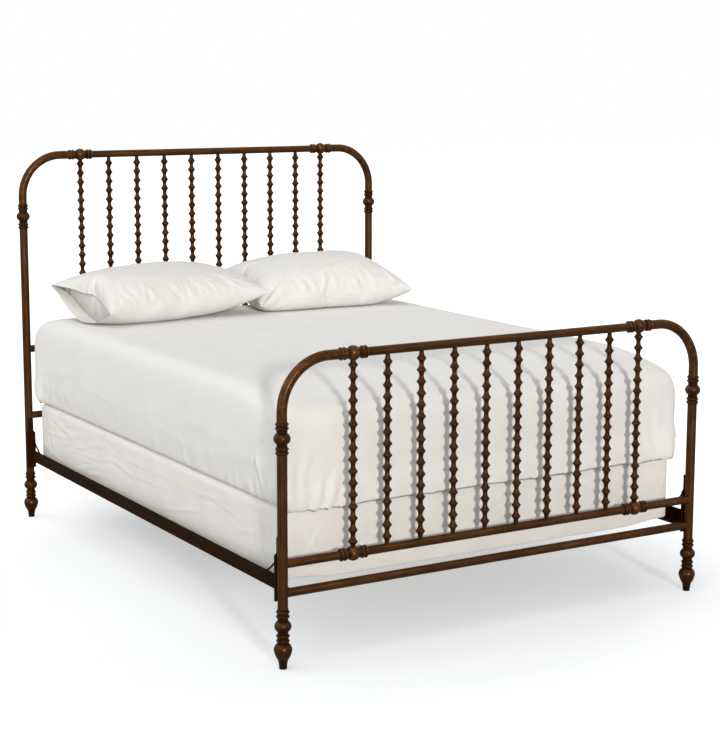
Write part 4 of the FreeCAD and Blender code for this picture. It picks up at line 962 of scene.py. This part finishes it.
world = bpy.data.worlds.new("studio")
bpy.context.scene.world = world
world.use_nodes = True
sky = world.node_tree.nodes["Background"]
sky.inputs["Color"].default_value = (1, 1, 1, 1)
sky.inputs["Strength"].default_value = sky_strength
bright = add_node(sky, "Background", {"Color": (1, 1, 1, 1), "Strength": 1.0})
ray = add_node(sky, "LightPath", {})
seen = number_sum(sky, "MAXIMUM", ray.outputs["Is Camera Ray"], ray.outputs["Is Glossy Ray"])
seen = number_sum(sky, "MAXIMUM", seen, ray.outputs["Is Transmission Ray"])
choose = add_node(sky, "MixShader", {0: seen, 1: sky.outputs[0], 2: bright.outputs[0]})
world.node_tree.links.new(choose.outputs[0], world.node_tree.nodes["World Output"].inputs["Surface"])

floor_finish, shader = new_finish("floor_white", roughness=1.0)
shader.inputs["Base Color"].default_value = (*linear(floor_tone), 1)
shader.inputs["Specular IOR Level"].default_value = 0.0
# Painted shade: the camera sees the floor glow less near the bed and more away from it, so the floor round the
# bed is painted darker.
away = vector_sum(shader, "LENGTH", vector_sum(shader, "SUBTRACT", object_place(shader), painted_shade_middle))
glow = add_node(shader, "Emission", {"Strength": spread(shader, away, *painted_shade_reach, *floor_glow_and_painted_shade)})
gate = add_node(shader, "LightPath", {})
matt = add_node(shader, "BsdfDiffuse", {"Color": (*linear(floor_shown), 1)})
both = add_node(shader, "AddShader", {0: matt.outputs[0], 1: glow.outputs[0]})
shown = add_node(shader, "MixShader",
                 {0: gate.outputs["Is Camera Ray"], 1: shader.outputs[0], 2: both.outputs[0]})
shader.id_data.links.new(shown.outputs[0], shader.id_data.nodes["Material Output"].inputs["Surface"])
corners = [(x * floor_reach, y * floor_reach, 0) for x, y in square]
floor = mesh_piece("studio_floor", corners, [(0, 1, 2, 3)], floor_finish)

for name, (turn, rise, strength, softness, tint) in lamps.items():
    lamp = bpy.data.objects.new(name, bpy.data.lights.new(name, "SUN"))
    lamp.data.color = tint
    lamp.data.energy = strength
    lamp.data.angle = math.radians(softness)
    turn, rise = math.radians(turn), math.radians(rise)
    shine = Vector((-math.sin(turn) * math.cos(rise), math.cos(turn) * math.cos(rise), -math.sin(rise)))
    lamp.rotation_euler = shine.to_track_quat("-Z", "Y").to_euler()
    bpy.context.scene.collection.objects.link(lamp)
bpy.context.scene.view_settings.view_transform = "Standard"

# Camera: where the photograph was taken from, standing at the foot end on the left.
# Its place, its aim and its focal length, in pixels, were fitted to marks on the stead.

camera_place = (-3.2282, -5.526, 1.7835)
camera_yaw = math.radians(30.4347)
camera_pitch = math.radians(9.036)
focal_length = 1748.62
photo_height = 752
camera_shift = (0.02926, -0.03457)
camera = bpy.data.objects.new("camera", bpy.data.cameras.new("camera"))
camera.data.sensor_width = 36.0
camera.data.lens = camera.data.sensor_width * focal_length / photo_height
camera.data.shift_x, camera.data.shift_y = camera_shift
camera.location = camera_place
camera.rotation_euler = (math.pi / 2 - camera_pitch, 0, -camera_yaw)
bpy.context.scene.collection.objects.link(camera)
bpy.context.scene.camera = camera
